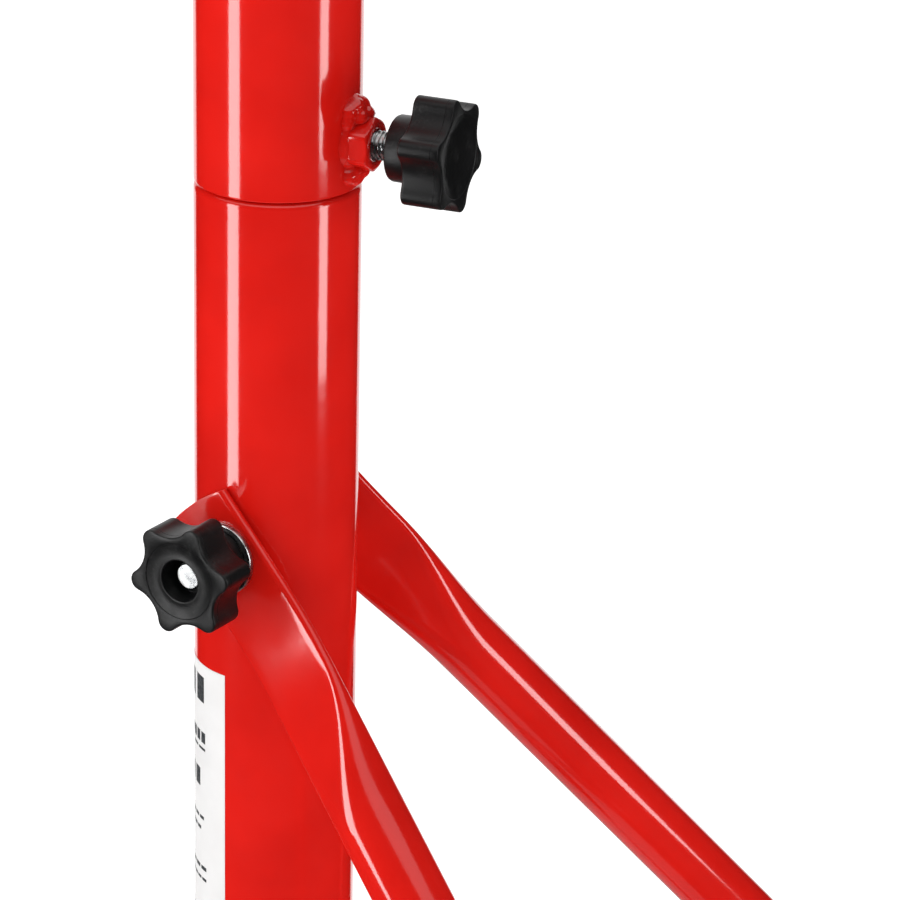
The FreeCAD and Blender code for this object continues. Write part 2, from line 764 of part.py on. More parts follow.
def build():
    """Make every sub-part and write it."""
    os.makedirs("parts", exist_ok=True)
    save("foot_pad", Part.makeCylinder(base_plate_radius - 2, foot_pad_height))
    save("base_plate", ring(base_plate_radius, 6, foot_pad_height, base_top))
    save("lower_column", lower_column())
    save("base_weld", base_weld())
    save("rear_foot_tube", rear_foot_tube())
    save("rear_gusset", rear_gusset())
    save("label", label())

    studs, washers, spacers = [], [], []
    bolts, lug_washers, nuts = [], [], []
    brace_face = brace_offset + flat_thickness / 2
    ground_face = ground_offset + flat_thickness / 2
    for leg, (_, azimuth, _, stud_height, knob_turn) in LEGS.items():
        end = lug_place(leg) + ground_overhang
        save(leg + "_brace", on_leg(brace(leg), leg, brace_offset, stud_height, brace_slope))
        save(leg + "_ground_tube", on_leg(ground_tube(leg, end), leg, ground_offset, ground_height))
        save(leg + "_lug", past_bend(lug(), leg, lug_place(leg), ground_height))
        save(leg + "_shoe", past_bend(shoe(), leg, end, ground_height))
        spacer = disc(washer_radius, stud_radius + 0.25, column_radius, flat_thickness)
        spacers.append(radial(spacer, azimuth, ground_height))
        for name, height, face in (("brace", stud_height, brace_face),
                                   ("ground", ground_height, ground_face)):
            seat = face + washer_thickness
            studs.append(radial(column_stud(seat + stud_past_washer), azimuth, height))
            washer = disc(washer_radius, stud_radius + 0.25, face, washer_thickness)
            washers.append(radial(washer, azimuth, height))
            knob = star_knob(brace_knob_length, through_face(brace_knob_length),
                             insert_radius, insert_length)
            insert = disc(insert_radius, stud_radius + thread_clearance, 0.2, insert_length - 0.2)
            knob = moved(turned(knob, Vector(1, 0, 0), knob_turn), seat + 0.1, 0, 0)
            save("%s_%s_knob" % (leg, name), radial(knob, azimuth, height))
            insert = moved(insert, seat + 0.1, 0, 0)
            save("%s_%s_insert" % (leg, name), radial(insert, azimuth, height))
        for group, piece in zip((bolts, lug_washers, nuts), bolt_set(leg)):
            group.append(piece)
    save("column_studs", Part.makeCompound(studs))
    save("stud_washers", Part.makeCompound(washers))
    save("ground_spacers", Part.makeCompound(spacers))
    save("lug_bolts", Part.makeCompound(bolts))
    save("lug_washers", Part.makeCompound(lug_washers))
    save("lug_nuts", Part.makeCompound(nuts))
    rear = moved(turned(shoe(), UP, 90), 0, rear_foot_reach, ground_height)
    save("rear_shoe", rear)

    save("upper_column", upper_column())
    save("clamp_nut", clamp_nut())
    save("clamp_weld", clamp_weld())
    save("clamp_stud", clamp_stud())
    save("clamp_knob", clamp_knob())
    save("top_collar", top_collar())

    save("extension_tube", extension_tube())
    save("guide_ring", guide_ring())
    save("tube_cap", tube_cap())
    save("lock_pin", lock_pin())
    save("pin_handle", pin_handle())
    save("lift_nut", lift_nut())
    save("nut_handles", nut_handles())
    save("handle_grips", handle_grips())
    save("lift_screw", lift_screw())
    save("saddle", saddle())
    save("saddle_pad", saddle_pad())
    save("saddle_grub_screw", grub_screw())


build()
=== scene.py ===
"""Looks of a knock-down axle support stand: meshes, finishes, light and camera.

Metres throughout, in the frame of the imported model: +Z up, the origin on the floor under the
column, the front of the stand at -Y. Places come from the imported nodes, joints and record.
"""

import json
import logging
import math
from collections.abc import Callable, Sequence
from dataclasses import dataclass, field
from enum import Enum

import bmesh
import bpy
from mathutils import Matrix, Vector


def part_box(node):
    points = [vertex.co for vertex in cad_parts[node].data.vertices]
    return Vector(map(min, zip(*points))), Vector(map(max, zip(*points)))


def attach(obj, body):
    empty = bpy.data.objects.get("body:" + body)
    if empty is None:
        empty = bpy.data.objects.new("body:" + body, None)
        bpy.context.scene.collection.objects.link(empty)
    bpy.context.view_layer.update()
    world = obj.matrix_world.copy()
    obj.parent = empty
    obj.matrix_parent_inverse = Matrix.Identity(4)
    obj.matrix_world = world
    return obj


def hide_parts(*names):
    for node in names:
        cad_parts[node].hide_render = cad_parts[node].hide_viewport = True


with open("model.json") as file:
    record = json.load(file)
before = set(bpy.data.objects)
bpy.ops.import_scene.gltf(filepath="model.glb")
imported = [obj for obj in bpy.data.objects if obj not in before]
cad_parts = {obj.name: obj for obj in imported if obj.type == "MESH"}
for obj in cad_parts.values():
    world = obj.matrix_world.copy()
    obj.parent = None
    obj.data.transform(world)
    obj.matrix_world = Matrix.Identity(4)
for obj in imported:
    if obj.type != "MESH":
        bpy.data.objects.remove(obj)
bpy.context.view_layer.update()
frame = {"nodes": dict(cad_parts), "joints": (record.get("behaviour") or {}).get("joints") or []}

MM = 0.001
UP = Vector((0.0, 0.0, 1.0))
LOG = logging.getLogger("stand")
Colour = tuple[float, float, float]
Ring = list[Vector]


class Slot(Enum):
    """Material slots of the record."""

    RED = "red_powder_coat"
    KNOB = "knob_plastic"
    ZINC = "zinc_hardware"
    TUBE = "zinc_tube"
    SCREW = "screw_steel"
    CRADLE = "cradle_paint"
    RUBBER = "rubber"
    GRIP = "grip_plastic"
    LABEL = "label_film"


class Shading(Enum):
    """How the edges of a piece are shaded."""

    CRISP = 28.0
    SOFT = 50.0
    ROUND = 180.0


# ---------------------------------------------------------------- shader expressions
class Signal:
    """One output socket of a node tree; its operators add Math nodes."""

    def __init__(self, net: "Net", socket: bpy.types.NodeSocket) -> None:
        """Wrap a socket of a tree."""
        self.net = net
        self.socket = socket

    def _maths(self, operation: str, first: object, second: object) -> "Signal":
        """Add one Math node on two numbers or signals."""
        return self.net.node("ShaderNodeMath", {"operation": operation}, {0: first, 1: second})

    def __add__(self, other: object) -> "Signal":
        """Sum."""
        return self._maths("ADD", self, other)

    __radd__ = __add__

    def __sub__(self, other: object) -> "Signal":
        """Difference."""
        return self._maths("SUBTRACT", self, other)

    def __rsub__(self, other: object) -> "Signal":
        """Difference with the number on the left."""
        return self._maths("SUBTRACT", other, self)

    def __mul__(self, other: object) -> "Signal":
        """Product."""
        return self._maths("MULTIPLY", self, other)

    __rmul__ = __mul__


class Net:
    """A material's node tree with one Principled shader."""

    def __init__(self, name: str) -> None:
        """Start an empty material.

        Args:
            name: name of the new material.
        """
        self.material = bpy.data.materials.new(name)
        self.material.use_nodes = True
        self.tree = self.material.node_tree
        self.shader = next(n for n in self.tree.nodes if n.type == "BSDF_PRINCIPLED")

    def plug(self, socket: bpy.types.NodeSocket, value: object) -> None:
        """Link a signal to a socket, or set a constant on it."""
        if isinstance(value, Signal):
            self.tree.links.new(value.socket, socket)
        elif isinstance(value, tuple) and socket.type == "RGBA":
            socket.default_value = (*value[:3], 1.0)
        else:
            socket.default_value = value

    def node(self, kind: str, settings: dict, inputs: dict, output: int | str = 0) -> Signal:
        """Add any node.

        Args:
            kind: Blender's name of the node's type.
            settings: attributes set first; "stops" fills a colour ramp.
            inputs: constants or signals by socket name or index.
            output: the output socket to return.

        Returns:
            The chosen output as a signal.
        """
        made = self.tree.nodes.new(kind)
        for key, value in settings.items():
            if key == "stops":
                self._fill_ramp(made.color_ramp, value)
            else:
                setattr(made, key, value)
        for key, value in inputs.items():
            self.plug(made.inputs[key], value)
        return Signal(self, made.outputs[output])

    @staticmethod
    def _fill_ramp(ramp: bpy.types.ColorRamp, stops: Sequence[tuple[float, float]]) -> None:
        """Give a ramp its grey stops, as (position, level) pairs."""
        while len(ramp.elements) < len(stops):
            ramp.elements.new(0.5)
        for element, (position, level) in zip(ramp.elements, stops):
            element.position = position
            element.color = (level, level, level, 1.0)

    def place(self, stretch: tuple[float, float, float] = (1.0, 1.0, 1.0)) -> Signal:
        """Position on the piece in metres, stretched along the axes."""
        spot = self.node("ShaderNodeTexCoord", {}, {}, "Object")
        return self.node("ShaderNodeVectorMath", {"operation": "MULTIPLY"}, {0: spot, 1: stretch})

    def speckle(self, place: Signal, size: float, detail: float = 2.0) -> Signal:
        """Smooth noise whose features are about size metres wide."""
        inputs = {"Vector": place, "Scale": 1.0 / size, "Detail": detail}
        return self.node("ShaderNodeTexNoise", {}, inputs, 0)

    def ramp(self, value: Signal, low: float, high: float) -> Signal:
        """Rise from nought to one between two values."""
        settings = {"stops": [(low, 0.0), (high, 1.0)]}
        return self.node("ShaderNodeValToRGB", settings, {0: value}, 0)

    def blend(self, first: object, second: object, share: Signal) -> Signal:
        """Mix two colours by a share."""
        settings = {"data_type": "RGBA"}
        return self.node("ShaderNodeMix", settings, {0: share, 6: first, 7: second}, 2)

    def bump(self, height: Signal, depth: float) -> Signal:
        """Normal of a relief of the given depth in metres."""
        inputs = {"Strength": 1.0, "Distance": depth, "Height": height}
        return self.node("ShaderNodeBump", {}, inputs, 0)

    def finish(self, **sockets: object) -> bpy.types.Material:
        """Fill the shader's sockets, given with underscores for spaces.

        Returns:
            The finished material.
        """
        for name, value in sockets.items():
            self.plug(self.shader.inputs[name.replace("_", " ")], value)
        return self.material


# ---------------------------------------------------------------- finishes
@dataclass(frozen=True)
class PowderCoat:
    """Glossy baked powder coat with a light orange peel."""

    colour: Colour = (0.70, 0.0105, 0.0062)
    deep: Colour = (0.58, 0.007, 0.004)
    roughness: float = 0.085
    peel: float = 5.5 * MM
    peel_depth: float = 0.022 * MM

    def make(self) -> bpy.types.Material:
        """Build the material."""
        net = Net("powder_coat")
        place = net.place()
        cloud = net.speckle(place, 45 * MM, 3.0)
        colour = net.blend(self.deep, self.colour, net.ramp(cloud, 0.25, 0.62))
        peel = net.speckle(place, self.peel, 1.0) + 0.25 * net.speckle(place, 1.6 * MM, 1.0)
        dust = net.ramp(net.speckle(place, 0.9 * MM, 2.0), 0.66, 0.78)
        rough = self.roughness + 0.05 * net.speckle(place, 12 * MM) + 0.12 * dust
        return net.finish(
            Base_Color=colour, Roughness=rough, Normal=net.bump(peel, self.peel_depth),
            IOR=1.5, Specular_IOR_Level=0.5, Coat_Weight=0.35, Coat_Roughness=0.04,
        )


@dataclass(frozen=True)
class MouldedPlastic:
    """Black glass-filled plastic with a fine eroded grain and rubbed spots."""

    name: str = "moulded_plastic"
    colour: Colour = (0.0042, 0.0042, 0.0045)
    worn: Colour = (0.022, 0.022, 0.022)
    roughness: float = 0.31
    grain: float = 0.55 * MM
    grain_depth: float = 0.035 * MM

    def make(self) -> bpy.types.Material:
        """Build the material."""
        net = Net(self.name)
        place = net.place()
        rub = net.ramp(net.speckle(place, 7 * MM, 5.0), 0.50, 0.72)
        flow = net.speckle(place, 14 * MM, 3.0)
        grain = net.speckle(place, self.grain, 3.0)
        speck = net.ramp(net.speckle(place, 1.1 * MM, 4.0), 0.50, 0.66)
        rough = self.roughness + 0.16 * rub + 0.10 * flow
        return net.finish(
            Base_Color=net.blend(self.colour, self.worn, rub * speck), Roughness=rough,
            Normal=net.bump(grain, self.grain_depth), Specular_IOR_Level=0.26,
        )


@dataclass(frozen=True)
class Plated:
    """Bright zinc plate with a faint crystal mottle, or steel in other tones."""

    name: str
    light: Colour
    dark: Colour
    roughness: float
    streak: tuple[float, float, float] = (1.0, 1.0, 1.0)

    def make(self) -> bpy.types.Material:
        """Build the material."""
        net = Net(self.name)
        place = net.place(self.streak)
        mottle = net.speckle(place, 3.0 * MM, 4.0)
        fine = net.speckle(place, 0.7 * MM, 3.0)
        tone = net.blend(self.dark, self.light, net.ramp(mottle, 0.32, 0.62))
        rough = self.roughness + 0.16 * mottle
        return net.finish(
            Base_Color=tone, Roughness=rough, Metallic=1.0,
            Normal=net.bump(fine + mottle * 0.5, 0.012 * MM),
        )


@dataclass(frozen=True)
class Rubber:
    """Matt moulded rubber with dust in its grain."""

    colour: Colour = (0.016, 0.016, 0.017)
    dusty: Colour = (0.055, 0.054, 0.052)

    def make(self) -> bpy.types.Material:
        """Build the material."""
        net = Net("moulded_rubber")
        place = net.place()
        dust = net.ramp(net.speckle(place, 9 * MM, 6.0), 0.48, 0.75)
        grain = net.speckle(place, 0.8 * MM, 3.0)
        return net.finish(
            Base_Color=net.blend(self.colour, self.dusty, dust * 0.7),
            Roughness=0.62 + 0.2 * dust, Normal=net.bump(grain, 0.05 * MM),
            Specular_IOR_Level=0.35,
        )


@dataclass(frozen=True)
class CastPaint:
    """Thin black coating over a sand-cast surface."""

    colour: Colour = (0.020, 0.020, 0.021)
    bare: Colour = (0.10, 0.095, 0.09)

    def make(self) -> bpy.types.Material:
        """Build the material."""
        net = Net("cast_paint")
        place = net.place()
        sand = net.speckle(place, 1.3 * MM, 5.0)
        patch = net.ramp(net.speckle(place, 10 * MM, 6.0), 0.60, 0.72)
        return net.finish(
            Base_Color=net.blend(self.colour, self.bare, patch * 0.5),
            Roughness=0.42 + 0.2 * sand, Normal=net.bump(sand, 0.10 * MM),
            Metallic=0.3 * patch,
        )


@dataclass(frozen=True)
class LabelFilm:
    """White printed film with a faint fibre and slight yellowing."""

    white: Colour = (0.76, 0.755, 0.75)
    grey: Colour = (0.70, 0.695, 0.69)

    def make(self) -> bpy.types.Material:
        """Build the material."""
        net = Net("label_film")
        place = net.place()
        cloud = net.ramp(net.speckle(place, 18 * MM, 3.0), 0.3, 0.7)
        fibre = net.speckle(net.place((1.0, 1.0, 4.0)), 0.9 * MM, 3.0)
        return net.finish(
            Base_Color=net.blend(self.grey, self.white, cloud), Roughness=0.42 + 0.15 * fibre,
            Normal=net.bump(fibre, 0.01 * MM),
        )


@dataclass(frozen=True)
class Ink:
    """Dark print on the label, a little uneven."""

    black: Colour = (0.020, 0.022, 0.026)
    thin: Colour = (0.06, 0.065, 0.07)

    def make(self) -> bpy.types.Material:
        """Build the material."""
        net = Net("label_ink")
        cover = net.ramp(net.speckle(net.place(), 1.1 * MM, 4.0), 0.4, 0.65)
        return net.finish(
            Base_Color=net.blend(self.thin, self.black, cover), Roughness=0.4 + 0.15 * cover)


FINISHES: dict[Slot, Callable[[], bpy.types.Material]] = {
    Slot.RED: PowderCoat().make,
    Slot.KNOB: MouldedPlastic().make,
    Slot.ZINC: Plated("zinc_plate", (0.66, 0.67, 0.67), (0.30, 0.31, 0.32), 0.20).make,
    Slot.TUBE: Plated("drawn_tube", (0.74, 0.75, 0.76), (0.50, 0.51, 0.53), 0.26,
                      (1.0, 1.0, 0.04)).make,
    Slot.SCREW: Plated("oiled_steel", (0.42, 0.41, 0.39), (0.16, 0.15, 0.14), 0.24).make,
    Slot.CRADLE: CastPaint().make,
    Slot.RUBBER: Rubber().make,
    Slot.GRIP: MouldedPlastic("dipped_grip", (0.012, 0.012, 0.013), (0.03, 0.03, 0.03),
                              0.22, 1.2 * MM, 0.02 * MM).make,
    Slot.LABEL: LabelFilm().make,
}


class Wardrobe:
    """Makes each finish once and hands it out."""

    def __init__(self) -> None:
        """Start with nothing made."""
        self.made: dict[Slot, bpy.types.Material] = {}

    def get(self, slot: Slot) -> bpy.types.Material:
        """Material of a slot."""
        if slot not in self.made:
            self.made[slot] = FINISHES[slot]()
        return self.made[slot]


WARDROBE = Wardrobe()


# ---------------------------------------------------------------- meshes
@dataclass
class Form:
    """Points and faces of one piece while it is built."""

    points: list[Vector] = field(default_factory=list)
    faces: list[tuple[int, ...]] = field(default_factory=list)

    def skin(self, rings: Sequence[Ring], caps: bool = True, loop: bool = False) -> "Form":
        """Lay faces between neighbouring closed rings of equal count.

        Args:
            rings: closed rows of points.
            caps: close both ends with a face.
            loop: join the last ring to the first.

        Returns:
            This form.
        """
        first = len(self.points)
        count = len(rings[0])
        for ring in rings:
            self.points += ring
        rows = len(rings)
        for row in range(rows if loop else rows - 1):
            here = first + row * count
            there = first + ((row + 1) % rows) * count
            for k in range(count):
                after = (k + 1) % count
                self.faces.append((here + k, here + after, there + after, there + k))
        if caps and not loop:
            self.faces.append(tuple(reversed(range(first, first + count))))
            last = first + (rows - 1) * count
            self.faces.append(tuple(range(last, last + count)))
        return self

    def add(self, other: "Form", matrix: Matrix | None = None) -> "Form":
        """Take in another form, moved by a matrix."""
        first = len(self.points)
        spot = matrix or Matrix.Identity(4)
        self.points += [spot @ p for p in other.points]
        self.faces += [tuple(first + i for i in face) for face in other.faces]
        return self

    def moved(self, matrix: Matrix) -> "Form":
        """Copy of this form moved by a matrix."""
        return Form().add(self, matrix)


def piece(name: str, form: Form, body: str, slot: Slot, replaces: Sequence[str] = (),
          shading: Shading = Shading.CRISP, bevel: float = 0.0, rounding: int = 0) -> bpy.types.Object:
    """Turn a form into a shown piece that rides on a body.

    Args:
        name: name of the piece.
        form: its points and faces.
        body: CAD body that it rides on.
        slot: material slot that gives its finish.
        replaces: CAD nodes that it stands for.
        shading: angle past which an edge is sharp.
        bevel: width of a bevel on sharp edges, in metres.
        rounding: levels of subdivision.

    Returns:
        The new object.
    """
    mesh = bpy.data.meshes.new(name)
    mesh.from_pydata([tuple(p) for p in form.points], [], form.faces)
    work = bmesh.new()
    work.from_mesh(mesh)
    bmesh.ops.remove_doubles(work, verts=work.verts, dist=1e-6)
    bmesh.ops.recalc_face_normals(work, faces=work.faces)
    work.to_mesh(mesh)
    work.free()
    mesh.polygons.foreach_set("use_smooth", [True] * len(mesh.polygons))
    if shading is not Shading.ROUND:
        mesh.set_sharp_from_angle(angle=math.radians(shading.value))
    thing = bpy.data.objects.new(name, mesh)
    bpy.context.scene.collection.objects.link(thing)
    if bevel:
        edge = thing.modifiers.new("edge", "BEVEL")
        edge.width = bevel
        edge.segments = 3
        edge.limit_method = "ANGLE"
        edge.angle_limit = math.radians(35)
        edge.harden_normals = True
    if rounding:
        smooth = thing.modifiers.new("round", "SUBSURF")
        smooth.levels = rounding
        smooth.render_levels = rounding
    mesh.materials.append(WARDROBE.get(slot))
    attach(thing, body)
    if replaces:
        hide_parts(*replaces)
    LOG.info("piece %s on %s: %d faces", name, body, len(mesh.polygons))
    return thing


def circle(radius: float, height: float, count: int = 96) -> Ring:
    """Ring of points about the Z axis."""
    return [Vector((radius * math.cos(a), radius * math.sin(a), height))
            for a in (2 * math.pi * k / count for k in range(count))]


def lathe(profile: Sequence[tuple[float, float]], count: int = 96, loop: bool = False) -> Form:
    """Surface turned about the Z axis from (radius, height) pairs."""
    rings = [circle(max(radius, 1e-7), height, count) for radius, height in profile]
    return Form().skin(rings, caps=False, loop=loop)


def eased(corners: Sequence[tuple[float, float, float]], steps: int = 5,
          closed: bool = True) -> list[tuple[float, float]]:
    """Round the corners of an outline.

    Args:
        corners: (x, y, rounding radius) of each corner.
        steps: chords in each rounded corner.
        closed: whether the outline's last corner joins its first.

    Returns:
        Points of the rounded outline.
    """
    points: list[tuple[float, float]] = []
    count = len(corners)
    for k, (x, y, radius) in enumerate(corners):
        here = Vector((x, y))
        ends = not closed and k in (0, count - 1)
        if radius <= 0 or ends:
            points.append((x, y))
            continue
        before = Vector(corners[k - 1][:2]) - here
        after = Vector(corners[(k + 1) % count][:2]) - here
        half = before.angle(after) / 2
        cut = min(radius / math.tan(half), 0.49 * before.length, 0.49 * after.length)
        start = here + before.normalized() * cut
        end = here + after.normalized() * cut
        for step in range(steps + 1):
            t = step / steps
            spot = start * (1 - t) ** 2 + here * 2 * t * (1 - t) + end * t ** 2
            points.append((spot.x, spot.y))
    return points


def turned_solid(corners: Sequence[tuple[float, float, float]], count: int = 96,
                 steps: int = 5) -> Form:
    """Closed turned body from an outline of (radius, height, rounding) corners."""
    return lathe(eased(corners, steps), count, loop=True)


def rod_form(radius: float, length: float, ease: float, count: int = 48) -> Form:
    """Round bar along +Z from the origin with eased ends."""
    rim = [(0.0, 0.0, 0.0), (radius, 0.0, ease), (radius, length, ease), (0.0, length, 0.0)]
    return lathe(eased(rim, 4, closed=False), count)


def thread_form(radius: float, pitch: float, length: float, depth: float, flat: float = 0.12,
                count: int = 40, samples: int = 10) -> Form:
    """Threaded bar along +Z whose ridge runs round it as a helix.

    Args:
        radius: outer radius.
        pitch: rise in one turn.
        length: length of the bar.
        depth: depth of the thread.
        flat: share of the pitch that the crest keeps flat.
        count: points round the bar.
        samples: rows of points in one pitch.

    Returns:
        The bar, with chamfered ends.
    """
    rows = max(4, int(length / pitch * samples))
    rings = []
    for row in range(rows + 1):
        height = length * row / rows
        end = min(height, length - height)
        limit = radius - depth * max(0.0, 1 - end / (1.1 * depth))
        ring = []
        for k in range(count):
            angle = 2 * math.pi * k / count
            phase = (height / pitch - k / count) % 1.0
            slope = abs(2 * phase - 1)
            fall = min(1.0, max(0.0, (slope - flat) / (1 - 2 * flat)))
            r = min(radius - depth * fall, limit)
            ring.append(Vector((r * math.cos(angle), r * math.sin(angle), height)))
        rings.append(ring)
    return Form().skin(rings)


def hex_form(across: float, length: float, bore: float, chamfer: float, both: bool = True,
             soft: float = 0.3 * MM, count: int = 120) -> Form:
    """Hexagonal nut or head along +Z, its corners turned off by a cone and its edges eased.

    Args:
        across: width across the flats.
        length: height of the hexagon.
        bore: radius of the hole, or nought.
        chamfer: how far the corners are turned off.
        both: turn off both ends.
        soft: rounding of the upright edges.
        count: points round the ring.

    Returns:
        The nut or head.
    """
    corner = across / math.sqrt(3)
    heights = [0.0, 0.15, 0.35, 0.6, 1.0]
    levels = [chamfer * h for h in heights]
    levels = levels + [length - level for level in reversed(levels)]
    rings = []
    for height in levels:
        from_end = min(height if both else length, length - height)
        cone = corner - chamfer * 1.5 + from_end * 1.7
        ring = []
        for k in range(count):
            angle = 2 * math.pi * k / count
            off = (angle + math.pi / 6) % (math.pi / 3) - math.pi / 6
            flat = across / 2 / math.cos(off)
            r = min(flat, corner - soft * 0.5, cone)
            ring.append(Vector((r * math.cos(angle), r * math.sin(angle), height)))
        rings.append(ring)
    if not bore:
        return Form().skin(rings)
    lead = 0.6 * MM
    inner = [circle(bore + lead, length, count), circle(bore, length - lead, count),
             circle(bore, lead, count), circle(bore + lead, 0.0, count)]
    return Form().skin(rings + inner, loop=True)


def slab_form(outline: Sequence[tuple[float, float]], thickness: float) -> Form:
    """Plate whose outline lies in the XY plane, centred on it in thickness."""
    rings = [[Vector((x, y, z)) for x, y in outline] for z in (-thickness / 2, thickness / 2)]
    return Form().skin(rings)


def sweep_form(path: Sequence[Vector], radius: Callable[[float], float], count: int = 20) -> Form:
    """Round bar along a path, its radius given by the share of the path."""
    rings = []
    last = len(path) - 1
    side = Vector((1.0, 0.0, 0.0))
    for k, spot in enumerate(path):
        run = (path[min(k + 1, last)] - path[max(k - 1, 0)]).normalized()
        if abs(run.dot(side)) > 0.95:
            side = Vector((0.0, 1.0, 0.0))
        side = (side - run * side.dot(run)).normalized()
        across = run.cross(side)
        r = radius(k / last)
        rings.append([spot + side * r * math.cos(a) + across * r * math.sin(a)
                      for a in (2 * math.pi * i / count for i in range(count))])
    return Form().skin(rings)


# ---------------------------------------------------------------- places taken from the model
def span(node: str, direction: Vector) -> tuple[float, float]:
    """Least and greatest distance of a CAD node's points along a direction."""
    values = [v.co.dot(direction) for v in frame["nodes"][node].data.vertices]
    return min(values), max(values)


def joint(name: str) -> dict:
    """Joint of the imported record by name."""
    return next(j for j in frame["joints"] if j["name"] == name)


@dataclass(frozen=True)
class Axis:
    """A line out of the column: where hardware points."""

    height: float
    azimuth: float

    @classmethod
    def of_joint(cls, name: str) -> "Axis":
        """Axis of a knob's joint."""
        found = joint(name)
        out = found["axis"]
        return cls(found["pos_m"][2], math.atan2(out[1], out[0]))

    @property
    def out(self) -> Vector:
        """Unit vector out of the column."""
        return Vector((math.cos(self.azimuth), math.sin(self.azimuth), 0.0))

    def at(self, distance: float, roll: float = 0.0) -> Matrix:
        """Placement of a form built along +Z, its base at a distance from the column's axis."""
        out = self.out
        side = UP.cross(out)
        turn = Matrix((UP, side, out)).transposed()
        turn = Matrix((side, UP, out)).transposed() if turn.determinant() < 0 else turn
        spot = Vector((0.0, 0.0, self.height)) + out * distance
        return Matrix.Translation(spot) @ turn.to_4x4() @ Matrix.Rotation(roll, 4, "Z")


class Side(Enum):
    """The two legs, with the sign of the leg plane's offset."""

    LEFT = -1
    RIGHT = 1

    @property
    def word(self) -> str:
        """Prefix of the side's node names."""
        return self.name.lower()


@dataclass
class Leg:
    """Geometry of one leg: a brace and a ground tube, both bent outward past the column.

    Forms are built along +X from the column's stud; local +Z is up before any tilt.
    """

    side: Side
    thickness: float = 4.0 * MM
    slope: float = math.radians(48.85)
    bend: float = math.radians(8.1)
    brace_pivot: float = 36.0 * MM
    brace_axis: Axis = field(init=False)
    ground_axis: Axis = field(init=False)
    bolt_height: float = field(init=False)

    def __post_init__(self) -> None:
        """Read the leg's axes and bolt height."""
        self.brace_axis = Axis.of_joint(f"{self.side.word}_brace_knob_turn")
        self.ground_axis = Axis.of_joint(f"{self.side.word}_ground_knob_turn")
        low_corner, high_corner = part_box("lug_bolts")
        self.bolt_height = (low_corner.z + high_corner.z) / 2

    @property
    def heading(self) -> float:
        """Direction of the flat ends along the floor, in radians."""
        return self.brace_axis.azimuth - self.side.value * math.pi / 2

    @property
    def ground_bend(self) -> float:
        """The brace's bend seen from above, which the ground tube copies."""
        return math.atan(math.tan(self.bend) / math.cos(self.slope))

    @property
    def end_twist(self) -> float:
        """Turn of the brace's lower end about its own length."""
        return -self.side.value * math.asin(math.sin(self.ground_bend) * math.sin(self.slope))

    @property
    def ground_pivot(self) -> float:
        """Place of the ground tube's bend, on its own plane."""
        return (self.brace_pivot * math.cos(self.slope)
                - self.thickness * math.tan(self.ground_bend / 2))

    @property
    def length(self) -> float:
        """Distance between the brace's two holes, along the bent tube."""
        slant = (self.brace_axis.height - self.bolt_height) / math.sin(self.slope)
        return self.brace_pivot + (slant - self.brace_pivot) / math.cos(self.bend)

    @property
    def brace_offset(self) -> float:
        """Distance of the brace's middle plane from the column's axis."""
        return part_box("lower_column")[1].x + self.thickness / 2

    @property
    def ground_offset(self) -> float:
        """Distance of the ground tube's middle plane from the column's axis."""
        return self.brace_offset + self.thickness

    def place(self, offset: float, height: float, tilt: float = 0.0) -> Matrix:
        """Placement of a form that starts at the column, X along the leg's flat ends."""
        turn = Matrix.Rotation(self.heading, 4, "Z")
        shift = Matrix.Translation((0.0, self.side.value * offset, height))
        return turn @ shift @ Matrix.Rotation(tilt, 4, "Y")

    def beyond(self) -> Matrix:
        """Placement on the floor of a form past the ground tube's bend, X along the tube."""
        pivot = Matrix.Translation((self.ground_pivot, 0.0, 0.0))
        turn = Matrix.Rotation(self.side.value * self.ground_bend, 4, "Z")
        return self.place(self.ground_offset, 0.0) @ pivot @ turn @ pivot.inverted()

    def extent(self, node: str) -> tuple[Vector, Vector]:
        """Least and greatest corner of a CAD node, in the frame past the bend."""
        back = self.beyond().inverted()
        points = [back @ v.co for v in frame["nodes"][node].data.vertices]
        low = Vector([min(p[k] for p in points) for k in range(3)])
        high = Vector([max(p[k] for p in points) for k in range(3)])
        return low, high

    def lug_place(self) -> float:
        """Distance of the lug along the ground tube."""
        low, high = self.extent(f"{self.side.word}_lug")
        return (low.x + high.x) / 2

    def bolt_axis(self) -> Matrix:
        """Placement of a form along +Z on the lug bolt's line, nought at the ground plane."""
        sign = self.side.value
        spot = Matrix.Translation((self.lug_place(), 0.0, self.bolt_height))
        turn = Matrix(((0, sign, 0), (0, 0, sign), (1, 0, 0))).to_4x4()
        return self.beyond() @ spot @ turn


def folded(form: Form, pivot: float, half: float, angle: float) -> Form:
    """Form along +X, bent about an upright line.

    Args:
        form: the straight form.
        pivot: place of the bend along X.
        half: half of the length that the bend takes up.
        angle: the bend, in radians, positive towards +Y.

    Returns:
        The bent form.
    """
    radius = half / math.tan(abs(angle) / 2)
    sign = math.copysign(1.0, angle)
    points = []
    for p in form.points:
        along = p.x - (pivot - half)
        a = abs(angle) * max(0.0, min(1.0, along / (2 * half)))
        before = min(along, 0.0)
        after = max(along - 2 * half, 0.0)
        reach = radius - sign * p.y
        x = pivot - half + before + reach * math.sin(a) + after * math.cos(a)
        y = radius - reach * math.cos(a) + after * math.sin(a)
        points.append(Vector((x, sign * y, p.z)))
    return Form(points, list(form.faces))


